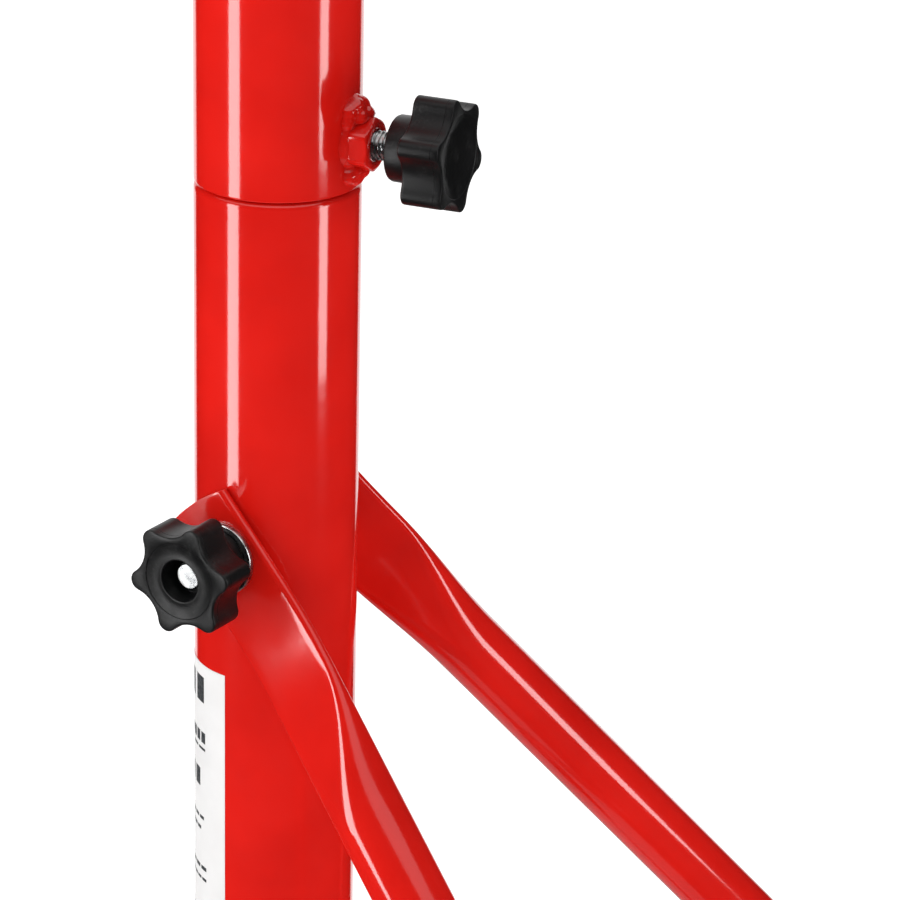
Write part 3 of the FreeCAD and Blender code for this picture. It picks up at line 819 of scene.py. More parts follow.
# ---------------------------------------------------------------- columns
@dataclass
class Columns:
    """The two stacked column tubes, the joint between them, the foot and the collar."""

    wall: float = 2.0 * MM
    rim_round: float = 0.9 * MM
    shoulder: float = 2.4 * MM

    def build(self) -> None:
        """Build every piece of the columns."""
        self.lower()
        self.upper()
        self.foot()
        self.collar()
        self.rear_foot()

    def lower(self) -> None:
        """Lower tube with its swaged shoulder and spigot."""
        low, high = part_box("lower_column")
        radius = (high.x - low.x) / 2
        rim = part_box("upper_column")[0].z
        spigot = radius - self.wall
        bend = []
        steps = 10
        for step in range(steps + 1):
            a = math.pi / 2 * step / steps
            drop = 2.05 * MM
            bend.append((radius - drop + drop * math.cos(a), rim - self.shoulder - 0.4 * MM
                         + self.shoulder * math.sin(a)))
        profile = [(radius - self.wall, low.z), (radius - 0.3 * MM, low.z), (radius, low.z + 0.3 * MM)]
        profile += bend
        profile += [(spigot, rim), (spigot, high.z - 0.5 * MM), (spigot - 0.5 * MM, high.z),
                    (spigot - self.wall, high.z), (spigot - self.wall, rim - 4 * MM),
                    (radius - self.wall, rim - 8 * MM)]
        piece("lower_column_tube", lathe(profile, 144, loop=True), "base", Slot.RED,
              ["lower_column"])

    def upper(self) -> None:
        """Upper tube with an eased lower rim."""
        low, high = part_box("upper_column")
        radius = (high.x - low.x) / 2
        inner = radius - self.wall
        corners = [(inner, low.z, 0.4 * MM), (radius, low.z, self.rim_round),
                   (radius, high.z, 0.4 * MM), (inner, high.z, 0.2 * MM)]
        piece("upper_column_tube", turned_solid(corners, 144), "upper_column", Slot.RED,
              ["upper_column"])

    def foot(self) -> None:
        """Base plate, rubber pad with grooves, and the weld round the column."""
        low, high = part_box("base_plate")
        radius = high.x
        corners = [(0.0, low.z, 0.0), (radius, low.z, 0.8 * MM), (radius, high.z, 1.2 * MM),
                   (0.0, high.z, 0.0)]
        piece("base_plate_disc", lathe(eased(corners, 5, closed=False), 120), "base", Slot.RED,
              ["base_plate"])
        low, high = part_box("foot_pad")
        radius = high.x
        groove = 1.2 * MM
        corners = [(0.0, low.z, 0.0)]
        for share in (0.3, 0.5, 0.7, 0.9):
            r = radius * share
            corners += [(r - 1.5 * MM, low.z, 0.3 * MM), (r - 0.8 * MM, low.z + groove, 0.3 * MM),
                        (r + 0.8 * MM, low.z + groove, 0.3 * MM), (r + 1.5 * MM, low.z, 0.3 * MM)]
        corners += [(radius, low.z, 1.0 * MM), (radius, high.z, 0.5 * MM), (0.0, high.z, 0.0)]
        piece("foot_pad_rubber", lathe(eased(corners, 3, closed=False), 96), "base", Slot.RUBBER,
              ["foot_pad"])
        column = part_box("lower_column")[1].x
        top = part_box("base_plate")[1].z
        bead = weld_ring(column + 1.2 * MM, 3.6 * MM, 64)
        piece("base_weld_bead", bead.moved(Matrix.Translation((0, 0, top + 1.0 * MM))), "base",
              Slot.RED, ["base_weld"], Shading.ROUND)

    def collar(self) -> None:
        """Stepped bush at the top of the upper column."""
        low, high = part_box("top_collar")
        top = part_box("upper_column")[1].z
        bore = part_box("extension_tube")[1].x + 0.08 * MM
        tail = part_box("upper_column")[1].x - self.wall
        corners = [(bore, low.z, 0.3 * MM), (tail, low.z, 0.3 * MM), (tail, top, 0.0),
                   (high.x, top, 0.8 * MM), (high.x, high.z, 1.6 * MM), (bore, high.z, 1.2 * MM)]
        piece("top_collar_bush", turned_solid(corners, 120), "upper_column", Slot.RED,
              ["top_collar"])

    def rear_foot(self) -> None:
        """Rear foot tube, its gusset and the weld where the tube meets the column."""
        low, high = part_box("rear_foot_tube")
        centre = (low.z + high.z) / 2
        radius = (high.z - low.z) / 2
        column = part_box("lower_column")[1].x
        start = column - 3 * MM
        tube = turned_solid([(radius - 1.5 * MM, 0.0, 0.0), (radius, 0.0, 0.2 * MM),
                             (radius, high.y - start, 0.4 * MM),
                             (radius - 1.5 * MM, high.y - start, 0.2 * MM)], 72)
        back = Matrix.Translation((0.0, start, centre)) @ Matrix.Rotation(-math.pi / 2, 4, "X")
        piece("rear_foot_pipe", tube.moved(back), "base", Slot.RED, ["rear_foot_tube"])
        path = []
        for k in range(73):
            a = 2 * math.pi * k / 72
            x = (radius + 0.8 * MM) * math.cos(a)
            z = centre + (radius + 0.8 * MM) * math.sin(a)
            path.append(Vector((x, math.sqrt(column ** 2 - x ** 2) + 0.6 * MM, z)))
        bead = sweep_form(path, lambda t: (2.3 + 0.35 * math.sin(t * 150)) * MM, 14)
        piece("rear_foot_weld", bead, "base", Slot.RED, shading=Shading.ROUND)
        low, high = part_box("rear_gusset")
        nose = 12 * MM
        outline = [(low.y, low.z), (high.y, low.z), (high.y, low.z + 4 * MM),
                   (low.y + nose, high.z), (low.y, high.z)]
        web = slab_form(outline, high.x - low.x)
        upright = Matrix(((0, 0, 1, 0), (1, 0, 0, 0), (0, 1, 0, 0), (0, 0, 0, 1)))
        piece("rear_gusset_web", web.moved(upright), "base", Slot.RED, ["rear_gusset"],
              bevel=0.7 * MM)
        for sign, word in ((1, "left"), (-1, "right")):
            side = sign * (high.x + 0.6 * MM)
            seams = [[Vector((side, low.y + 0.5 * MM, low.z + t * (high.z - low.z)))
                      for t in (k / 40 for k in range(41))],
                     [Vector((side, low.y + t * (high.y - low.y), low.z - 0.2 * MM))
                      for t in (k / 40 for k in range(41))]]
            bead = Form()
            for seam in seams:
                bead.add(sweep_form(seam, lambda t: (1.7 + 0.3 * math.sin(t * 120)) * MM
                                    * min(1.0, 0.35 + 8 * min(t, 1 - t)), 12))
            piece(f"gusset_weld_{word}", bead, "base", Slot.RED, shading=Shading.ROUND)


def weld_ring(radius: float, size: float, ripples: int) -> Form:
    """Ring-shaped weld bead about the Z axis with overlapping ripples."""
    count = ripples * 6
    rings = []
    for k in range(count):
        a = 2 * math.pi * k / count
        swell = 1 + 0.09 * abs(math.sin(math.pi * k / 6)) + 0.08 * math.sin(3 * a + 1.0)
        out = Vector((math.cos(a), math.sin(a), 0.0))
        centre = out * radius
        rings.append([centre + (out * math.cos(b) + UP * math.sin(b)) * size * swell
                      for b in (2 * math.pi * i / 16 for i in range(16))])
    return Form().skin(rings, loop=True)


# ---------------------------------------------------------------- squeezed tubes
@dataclass
class SqueezedTube:
    """Round tube whose end is pressed flat and rounded in plan; the hole in the flat end is not cut."""

    radius: float = 12.7 * MM
    thickness: float = 4.0 * MM
    half_width: float = 16.0 * MM
    end_reach: float = 21.0 * MM
    end_arc: float = 58.0 * MM
    arc_points: int = 14
    flat_points: int = 12

    def outline(self, x: float, half: float, limit: float = 1.0) -> Ring:
        """Section at x, from flat and wide to round.

        Args:
            x: place along the tube.
            half: half of the squeezed thickness.
            limit: the outline is cut off past this distance from the middle.

        Returns:
            One closed ring of points.
        """
        flat = self.thickness / 2
        share = max(0.0, min(1.0, (half - flat) / (self.radius - flat)))
        wide = self.half_width + share * (self.radius - self.half_width)
        straight = max(wide - max(half, flat), 0.0)
        ring = []
        for sign in (1, -1):
            for k in range(self.arc_points + 1):
                a = -math.pi / 2 + math.pi * k / self.arc_points
                y = sign * -half * math.sin(a)
                z = sign * (straight + half * math.cos(a))
                ring.append((y, z))
            for k in range(1, self.flat_points):
                t = k / self.flat_points
                ring.append((sign * -half, sign * straight * (1 - 2 * t)))
        return [Vector((x, y, max(-limit, min(limit, z)))) for y, z in ring]

    def end_rings(self, hole: float, outward: int) -> list[Ring]:
        """Rings of the rounded flat end, from its tip inwards."""
        tip = self.end_reach
        centre = tip - self.end_arc
        half = self.thickness / 2
        widest = self.half_width
        rings = []
        steps = 12
        for step in range(steps + 1):
            t = step / steps
            angle = math.asin(min(1.0, widest / self.end_arc)) * math.sin(t * math.pi / 2)
            x = centre + self.end_arc * math.cos(angle)
            limit = max(self.end_arc * math.sin(angle), 0.4 * MM)
            soft = half * (0.80 + 0.20 * min(1.0, t * 6))
            rings.append(self.outline(hole + outward * x, soft, limit))
        return rings

    def opening_rings(self, start: float, end: float) -> list[Ring]:
        """Rings of the stretch between the flat and the round section."""
        rings = []
        steps = 22
        flat = self.thickness / 2
        for step in range(steps + 1):
            t = step / steps
            ease = (1 - math.cos(math.pi * t)) / 2
            half = flat + ease * (self.radius - flat)
            rings.append(self.outline(start + t * (end - start), half))
        return rings

    def flat_rings(self, start: float, end: float, gap: float = 2.5 * MM) -> list[Ring]:
        """Evenly spaced rings of the flat section."""
        count = max(2, round((end - start) / gap))
        return [self.outline(start + (end - start) * k / count, self.thickness / 2)
                for k in range(count)]

    def double_ended(self, length: float, near: tuple[float, float], far: tuple[float, float],
                     twist: float) -> Form:
        """Tube along X with both ends pressed flat, the holes at nought and length.

        Args:
            length: distance between the holes.
            near: where the near end stops being flat, and the length that it opens over.
            far: the same for the far end, measured back from its hole.
            twist: turn of the far end about the tube's length, in radians.

        Returns:
            The straight tube.
        """
        rings = self.end_rings(0.0, -1)
        rings += self.flat_rings(8 * MM, near[0])
        rings += self.opening_rings(near[0], near[0] + near[1])
        flat = length - far[0]
        tail = self.end_rings(length, 1)
        shares = [1.0] * len(tail)
        opening = self.opening_rings(flat, flat - far[1])
        last = len(opening) - 1
        shares += [(1 + math.cos(math.pi * k / last)) / 2 for k in range(last + 1)]
        for ring, share in reversed(list(zip(tail + opening, shares))):
            turn = Matrix.Rotation(twist * share, 3, "X")
            rings.append([turn @ p for p in ring])
        return Form().skin(rings)

    def single_ended(self, end: float, near: tuple[float, float]) -> Form:
        """Tube along X with its inner end pressed flat and its outer end plain."""
        rings = self.end_rings(0.0, -1)
        rings += self.flat_rings(8 * MM, near[0])
        rings += self.opening_rings(near[0], near[0] + near[1])
        rings.append(self.outline(end, self.radius))
        return Form().skin(rings)


@dataclass
class LegSet:
    """One leg: its brace, ground tube, lug, shoe and fastenings."""

    leg: Leg
    tube: SqueezedTube = field(default_factory=SqueezedTube)
    upper_end: tuple[float, float] = (49.0 * MM, 58.0 * MM)
    lower_end: tuple[float, float] = (26.0 * MM, 38.0 * MM)
    brace_bend_half: float = 12.0 * MM
    ground_bend_half: float = 10.0 * MM

    def build(self) -> None:
        """Build every piece of this leg that isn't a knob or a shared fastener."""
        self.brace()
        self.ground_tube()
        self.lug()
        node = f"{self.leg.side.word}_shoe"
        low, high = self.leg.extent(node)
        place = self.leg.beyond() @ Matrix.Translation((low.x, 0.0, 0.0))
        Shoe().build(node, high.x - low.x, place)

    def brace(self) -> None:
        """Slanted brace."""
        leg = self.leg
        node = f"{leg.side.word}_brace"
        form = self.tube.double_ended(leg.length, self.upper_end, self.lower_end, leg.end_twist)
        form = folded(form, leg.brace_pivot, self.brace_bend_half, leg.side.value * leg.bend)
        spot = leg.place(leg.brace_offset, leg.brace_axis.height, leg.slope)
        piece(f"{node}_tube", form.moved(spot), "base", Slot.RED, [node], Shading.SOFT)

    def ground_tube(self) -> None:
        """Level tube along the floor."""
        leg = self.leg
        node = f"{leg.side.word}_ground_tube"
        end = leg.extent(node)[1].x
        flat_end = leg.ground_pivot + self.ground_bend_half + 2 * MM
        form = self.tube.single_ended(end, (flat_end, self.lower_end[1]))
        angle = leg.side.value * leg.ground_bend
        form = folded(form, leg.ground_pivot, self.ground_bend_half, angle)
        spot = leg.place(leg.ground_offset, leg.ground_axis.height)
        piece(f"{leg.side.word}_ground_pipe", form.moved(spot), "base", Slot.RED, [node],
              Shading.SOFT)

    def lug(self) -> None:
        """Ear on the ground tube, with its weld beads."""
        leg = self.leg
        node = f"{leg.side.word}_lug"
        low, high = leg.extent(node)
        half = (high.x - low.x) / 2
        thickness = high.y - low.y
        foot = leg.ground_axis.height + self.tube.radius - 0.9 * MM
        outline = [(-half, foot), (half, foot)]
        steps = 24
        for step in range(steps + 1):
            a = math.pi * step / steps
            outline.append((half * math.cos(a), leg.bolt_height + half * math.sin(a)))
        plate = slab_form(outline, thickness)
        upright = Matrix(((1, 0, 0, 0), (0, 0, -1, 0), (0, 1, 0, 0), (0, 0, 0, 1)))
        spot = leg.beyond() @ Matrix.Translation((leg.lug_place(), 0.0, 0.0))
        piece(f"{node}_ear", plate.moved(spot @ upright), "base", Slot.RED, [node], bevel=0.5 * MM)
        bead = Form()
        for sign in (1, -1):
            y = sign * (thickness / 2 + 0.8 * MM)
            drop = self.tube.radius - math.sqrt(self.tube.radius ** 2 - y ** 2)
            z = leg.ground_axis.height + self.tube.radius - drop
            seam = [Vector((half * (2 * k / 36 - 1), y, z + 0.4 * MM)) for k in range(37)]
            bead.add(sweep_form(seam, lambda t: (1.8 + 0.3 * math.sin(t * 95)) * MM
                                * min(1.0, 0.4 + 6 * min(t, 1 - t)), 12))
        piece(f"{node}_weld", bead.moved(spot), "base", Slot.RED, shading=Shading.ROUND)


@dataclass
class Shoe:
    """Moulded rubber shoe with a ribbed sole and a collar at its mouth."""

    width: float = 44.0 * MM
    height: float = 52.0 * MM
    corner: float = 6.0 * MM
    sole_groove: float = 1.4 * MM

    def section(self, x: float, inset: float) -> Ring:
        """Rounded-square section at x, drawn in from the full outline."""
        half = self.width / 2 - inset
        top = self.height - inset * 1.3
        bottom = min(inset, 0.6 * MM)
        corners = [(-half, bottom, 2.5 * MM), (half, bottom, 2.5 * MM),
                   (half, top, self.corner * 2), (-half, top, self.corner * 2)]
        points = []
        rounded = eased(corners, 6)
        for k, (y, z) in enumerate(rounded):
            after = rounded[(k + 1) % len(rounded)]
            points += [(y + (after[0] - y) * t, z + (after[1] - z) * t) for t in (0.0, 0.5)]
        return [Vector((x, y, z)) for y, z in points]

    def build(self, node: str, length: float, place: Matrix) -> None:
        """Build a shoe along +X from the place given.

        Args:
            node: CAD node that it stands for.
            length: length along the tube.
            place: its placement, on the floor.
        """
        steps = [(0.0, 1.6), (0.3, 0.9), (1.0, 0.3), (2.2, 0.0), (6.0, 0.0), (6.6, 1.4), (8.6, 1.4),
                 (9.2, 0.0)]
        rings = [self.section(x * MM, inset * MM) for x, inset in steps]
        end = length / MM
        tail = [(end - 12, 0.0), (end - 5, 0.35), (end - 2.5, 1.2), (end - 0.9, 2.6), (end, 4.6)]
        rings += [self.section(x * MM, inset * MM) for x, inset in tail]
        form = Form().skin(rings)
        name = f"{node}_rubber"
        thing = piece(name, form.moved(place), "base", Slot.RUBBER, [node], Shading.SOFT)
        thing.data.update()
        ribs = Form()
        count = 7
        for k in range(count):
            x = length * (0.22 + 0.6 * k / (count - 1))
            outline = [(x - 1.6 * MM, -self.width * 0.36), (x + 1.6 * MM, -self.width * 0.36),
                       (x + 1.6 * MM, self.width * 0.36), (x - 1.6 * MM, self.width * 0.36)]
            rib = slab_form(outline, self.sole_groove)
            ribs.add(rib, Matrix.Translation((0, 0, self.sole_groove / 2)))
        piece(f"{node}_sole_ribs", ribs.moved(place), "base", Slot.RUBBER, bevel=0.3 * MM)


# ---------------------------------------------------------------- knobs and fastenings
class Face(Enum):
    """The two faces that a star knob can have."""

    THROUGH = "coned dish with a socket"
    CLOSED = "smooth shallow dish"


@dataclass
class StarKnob:
    """Six-lobed moulded knob on a round hub."""

    face: Face
    radius: float = 20.5 * MM
    tip: float = 3.6 * MM
    valley: float = 15.6 * MM
    lobes: int = 6
    star: float = 14.5 * MM
    hub: float = 11.3 * MM
    dish: float = 14.4 * MM
    dish_depth: float = 2.4 * MM
    socket: float = 7.4 * MM
    socket_floor: float = 14.4 * MM
    stud: float = 5.1 * MM
    count: int = 216

    def reach(self, angle: float) -> float:
        """Distance of the star's outline from its axis at an angle."""
        half = math.pi / self.lobes
        centre = self.radius - self.tip
        bowl = (centre ** 2 + self.valley ** 2 - 2 * centre * self.valley * math.cos(half)
                - self.tip ** 2)
        bowl /= 2 * (self.tip - self.valley + centre * math.cos(half))
        far = self.valley + bowl
        off = abs((angle + half) % (2 * half) - half)
        gap = Vector((far * math.cos(half) - centre, far * math.sin(half)))
        touch = Vector((centre, 0.0)) + gap.normalized() * self.tip
        if off <= math.atan2(touch.y, touch.x):
            return centre * math.cos(off) + math.sqrt(self.tip ** 2 - (centre * math.sin(off)) ** 2)
        lean = half - off
        return far * math.cos(lean) - math.sqrt(bowl ** 2 - (far * math.sin(lean)) ** 2)

    def star_ring(self, height: float, inset: float) -> Ring:
        """Star outline at a height, drawn in by an inset."""
        ring = []
        for k in range(self.count):
            a = 2 * math.pi * k / self.count
            r = self.reach(a) - inset
            ring.append(Vector((r * math.cos(a), r * math.sin(a), height)))
        return ring

    def form(self, length: float) -> Form:
        """Knob along +Z with its hub at nought and its face at length."""
        back = length - self.star
        turn = [circle(self.stud + 0.5 * MM, 0.0, self.count),
                circle(self.hub - 0.9 * MM, 0.0, self.count),
                circle(self.hub - 0.3 * MM, 0.25 * MM, self.count),
                circle(self.hub, 0.9 * MM, self.count),
                circle(self.hub + 0.1 * MM, back - 0.8 * MM, self.count),
                circle(self.hub + 0.5 * MM, back - 0.2 * MM, self.count),
                circle(self.hub + 1.2 * MM, back, self.count)]
        sides = [(0.0, 0.9), (0.1, 0.5), (0.32, 0.18), (0.65, 0.04), (1.1, 0.0)]
        turn += [self.star_ring(back + h * MM, inset * MM) for h, inset in sides]
        seam = length - 2.6 * MM
        for h, inset in ((-0.14, 0.0), (-0.04, 0.09), (0.04, 0.09), (0.14, 0.0)):
            turn.append(self.star_ring(seam + h * MM, inset * MM))
        for h, inset in ((0.70, 0.02), (0.38, 0.10), (0.15, 0.27), (0.04, 0.5), (0.0, 0.8)):
            turn.append(self.star_ring(length - h * MM, inset * MM))
        turn.append(circle(self.dish + 0.12 * MM, length, self.count))
        turn.append(circle(self.dish - 0.05 * MM, length - 0.08 * MM, self.count))
        turn.append(circle(self.dish - 0.22 * MM, length - 0.28 * MM, self.count))
        turn += self.bowl(length)
        return Form().skin(turn, caps=False, loop=self.face is Face.THROUGH)

    def bowl(self, length: float) -> list[Ring]:
        """Rings of the dish, from its edge inwards."""
        if self.face is Face.CLOSED:
            rings = []
            sphere = (self.dish ** 2 + self.dish_depth ** 2) / (2 * self.dish_depth)
            for k in range(1, 15):
                r = self.dish * (1 - k / 14) * 0.985
                sag = sphere - math.sqrt(sphere ** 2 - r ** 2)
                rings.append(circle(max(r, 1e-7), length - self.dish_depth + sag, self.count))
            return rings
        steps = [(-0.9, 0.42), (-1.8, 0.62), (-2.8, 0.78), (-3.9, 0.84), (-4.8, 0.80),
                 (-5.4, 0.70), (-5.8, 0.66), (-6.0, 0.72)]
        rings = [circle(self.dish + inset * MM, length - drop * MM, self.count)
                 for inset, drop in steps]
        return rings + [
            circle(self.socket + 0.06 * MM, length - 0.85 * MM, self.count),
            circle(self.socket, length - 1.2 * MM, self.count),
            circle(self.socket - 0.1 * MM, self.socket_floor + 0.3 * MM, self.count),
            circle(self.socket - 0.5 * MM, self.socket_floor, self.count),
            circle(self.stud, self.socket_floor, self.count),
            circle(self.stud, 0.5 * MM, self.count)]


@dataclass
class Fastenings:
    """Knobs, studs, washers, spacers, bolts and nuts."""

    pitch: float = 1.5 * MM
    stud: float = 5.0 * MM
    thread_depth: float = 0.75 * MM
    washer: float = 13.0 * MM
    dish: float = 13.6 * MM
    stud_back: float = 8.0 * MM
    stud_ahead: float = 17.9 * MM
    across: float = 17.0 * MM
    knob_rolls: dict[str, float] = field(default_factory=lambda: {
        "left": math.radians(12.5), "right": math.radians(40.0)})

    def build(self, legs: Sequence[Leg]) -> None:
        """Build all fastenings of both legs."""
        studs, washers, spacers = Form(), Form(), Form()
        bolts, small, nuts = Form(), Form(), Form()
        for leg in legs:
            for word, axis in (("brace", leg.brace_axis), ("ground", leg.ground_axis)):
                self.knob_set(f"{leg.side.word}_{word}", axis, self.knob_rolls[leg.side.word])
                knob_start = span(f"{leg.side.word}_{word}_knob", axis.out)[0]
                studs.add(self.stud_form(), axis.at(knob_start - self.stud_back))
                washers.add(self.washer_form(self.washer, 1.95 * MM), axis.at(knob_start - 2.05 * MM))
            high = span("ground_spacers", leg.ground_axis.out)[1]
            spacers.add(self.washer_form(self.washer, leg.thickness),
                        leg.ground_axis.at(high - leg.thickness))
            self.bolt_set(leg, bolts, small, nuts)
        piece("column_stud_threads", studs, "base", Slot.ZINC, ["column_studs"])
        piece("stud_washer_rings", washers, "base", Slot.ZINC, ["stud_washers"])
        piece("ground_spacer_rings", spacers, "base", Slot.ZINC, ["ground_spacers"])
        piece("lug_bolt_set", bolts, "base", Slot.ZINC, ["lug_bolts"])
        piece("lug_washer_rings", small, "base", Slot.ZINC, ["lug_washers"])
        piece("lug_lock_nuts", nuts, "base", Slot.ZINC, ["lug_nuts"])

    def stud_form(self) -> Form:
        """Threaded end of a column stud, with the part inside the column left off."""
        length = self.stud_back + self.stud_ahead
        return thread_form(self.stud, self.pitch, length, self.thread_depth)

    @staticmethod
    def washer_form(radius: float, thickness: float) -> Form:
        """Flat washer with one rolled and one sharp edge, along +Z."""
        hole = 5.3 * MM
        corners = [(hole, 0.0, 0.1 * MM), (radius, 0.0, 0.1 * MM),
                   (radius, thickness, 0.7 * MM), (hole, thickness, 0.5 * MM)]
        return turned_solid(corners, 72, 4)

    def knob_set(self, name: str, axis: Axis, roll: float) -> None:
        """Through-hole knob with its threaded bush."""
        low, high = span(f"{name}_knob", axis.out)
        knob = StarKnob(Face.THROUGH, dish=self.dish).form(high - low)
        piece(f"{name}_star_knob", knob.moved(axis.at(low, roll)), f"{name}_knob", Slot.KNOB,
              [f"{name}_knob"])
        inner, outer = span(f"{name}_insert", axis.out)
        bush = turned_solid([(5.05 * MM, 0.0, 0.2 * MM), (5.08 * MM + 0.4 * MM, 0.0, 0.0),
                             (5.48 * MM, outer - inner - 0.6 * MM, 0.0),
                             (5.05 * MM, outer - inner - 0.6 * MM, 0.2 * MM)], 48)
        piece(f"{name}_bush", bush.moved(axis.at(inner)), f"{name}_knob", Slot.ZINC,
              [f"{name}_insert"])

    def bolt_set(self, leg: Leg, bolts: Form, small: Form, nuts: Form) -> None:
        """Hex bolt, washer and lock nut of one lug."""
        place = leg.bolt_axis()
        inner = -1.5 * leg.thickness
        high = leg.thickness / 2
        head = 6.4 * MM
        bolts.add(hex_form(self.across, head, 0.0, 1.2 * MM),
                  place @ Matrix.Translation((0, 0, inner - head)))
        bolts.add(thread_form(self.stud, self.pitch, high - inner + 13.5 * MM, self.thread_depth),
                  place @ Matrix.Translation((0, 0, inner)))
        small.add(self.washer_form(10.5 * MM, 2 * MM), place @ Matrix.Translation((0, 0, high)))
        seat = high + 2 * MM
        nuts.add(hex_form(self.across, 6.6 * MM, self.stud + 0.1 * MM, 1.2 * MM),
                 place @ Matrix.Translation((0, 0, seat)))
        collar = turned_solid([(5.1 * MM, 0.0, 0.0), (7.6 * MM, 0.0, 0.2 * MM),
                               (7.2 * MM, 2.4 * MM, 0.8 * MM), (5.1 * MM, 2.4 * MM, 0.5 * MM)], 60)
        nuts.add(collar, place @ Matrix.Translation((0, 0, seat + 6.6 * MM)))


@dataclass
class Clamp:
    """Welded nut, its weld, the threaded stud and the closed star knob."""

    across: float = 17.0 * MM
    nut_length: float = 8.0 * MM
    nut_roll: float = 0.0
    knob_roll: float = math.radians(-18.9)

    def build(self) -> None:
        """Build the clamp's pieces."""
        axis = Axis.of_joint("clamp_knob_turn")
        low, high = span("clamp_knob", axis.out)
        knob = StarKnob(Face.CLOSED).form(high - low)
        piece("clamp_star_knob", knob.moved(axis.at(low, self.knob_roll)), "clamp_knob",
              Slot.KNOB, ["clamp_knob"])
        inner = span("clamp_stud", axis.out)[0]
        stud = thread_form(5.0 * MM, 1.5 * MM, low + 2 * MM - inner, 0.75 * MM)
        piece("clamp_stud_thread", stud.moved(axis.at(inner)), "clamp_knob", Slot.ZINC,
              ["clamp_stud"])
        start = span("clamp_nut", axis.out)[0]
        nut = hex_form(self.across, self.nut_length, 5.2 * MM, 1.3 * MM, soft=0.9 * MM)
        piece("clamp_nut_hex", nut.moved(axis.at(start, self.nut_roll)), "upper_column", Slot.RED,
              ["clamp_nut"], Shading.SOFT)
        self.weld(axis)

    def weld(self, axis: Axis) -> None:
        """Lumpy beads above and below the nut, fused into one skin."""
        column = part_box("upper_column")[1].x
        bead = Form()
        lumps = [
            (11.2, -5.0, 1.0, 3.6), (12.2, -2.0, 1.6, 4.0), (12.0, 1.4, 1.8, 4.0),
            (11.0, 4.6, 1.2, 3.5), (9.8, -2.6, 4.2, 2.9), (10.2, 0.6, 4.8, 2.9),
            (9.4, 3.4, 4.4, 2.6), (13.8, -0.4, 0.2, 3.4), (8.4, -6.4, 1.6, 2.8),
            (-10.6, -4.4, 0.8, 3.4), (-11.6, -1.2, 1.2, 3.7), (-11.2, 2.2, 1.0, 3.5),
            (-9.6, 0.2, 3.8, 2.7), (-9.2, -3.0, 3.0, 2.6), (-9.0, 4.8, 1.4, 2.8),
            (-12.6, -0.2, -0.2, 2.8),
        ]
        for up, across, out, size in lumps:
            ball = lathe([(size * MM * math.sin(t), -size * MM * math.cos(t))
                          for t in (math.pi * k / 10 for k in range(11))], 20)
            drop = column - math.sqrt(column ** 2 - (across * MM) ** 2)
            spot = Vector((across * MM, up * MM, column - drop + out * MM - 1.2 * MM))
            bead.add(ball, Matrix.Translation(spot))
        root = lathe(eased([(0.0, -2.0 * MM, 0.0), (10.2 * MM, -2.0 * MM, 0.0),
                            (9.6 * MM, 1.0 * MM, 1.0 * MM), (8.2 * MM, 2.6 * MM, 0.6 * MM),
                            (0.0, 2.6 * MM, 0.0)], 4, closed=False), 40)
        bead.add(root, Matrix.Translation((0.0, 0.0, column - 0.6 * MM)))
        form = bead.moved(axis.at(0.0))
        thing = piece("clamp_weld_beads", form, "upper_column", Slot.RED, ["clamp_weld"],
                      Shading.ROUND)
        fuse(thing, 0.45 * MM, 14)


def fuse(thing: bpy.types.Object, voxel: float, passes: int) -> None:
    """Turn overlapping lumps into one smooth skin, applied to the mesh."""
    remesh = thing.modifiers.new("fuse", "REMESH")
    remesh.mode = "VOXEL"
    remesh.voxel_size = voxel
    smooth = thing.modifiers.new("settle", "SMOOTH")
    smooth.factor = 0.5
    smooth.iterations = passes
    graph = bpy.context.evaluated_depsgraph_get()
    done = bpy.data.meshes.new_from_object(thing.evaluated_get(graph))
    thing.modifiers.clear()
    thing.data = done
    done.polygons.foreach_set("use_smooth", [True] * len(done.polygons))


# ---------------------------------------------------------------- label
@dataclass(frozen=True)
class PrintRow:
    """A row of plain marks: distances from the label's top and from its front edge."""

    top: float
    height: float
    start: float
    end: float
    mark: float = 50.0
    gap: float = 1.0

    def marks(self) -> list[tuple[float, float]]:
        """Start and end of each mark of the row."""
        found = []
        start = self.start
        while start < self.end:
            found.append((start, min(start + self.mark, self.end)))
            start += self.mark + self.gap
        return found


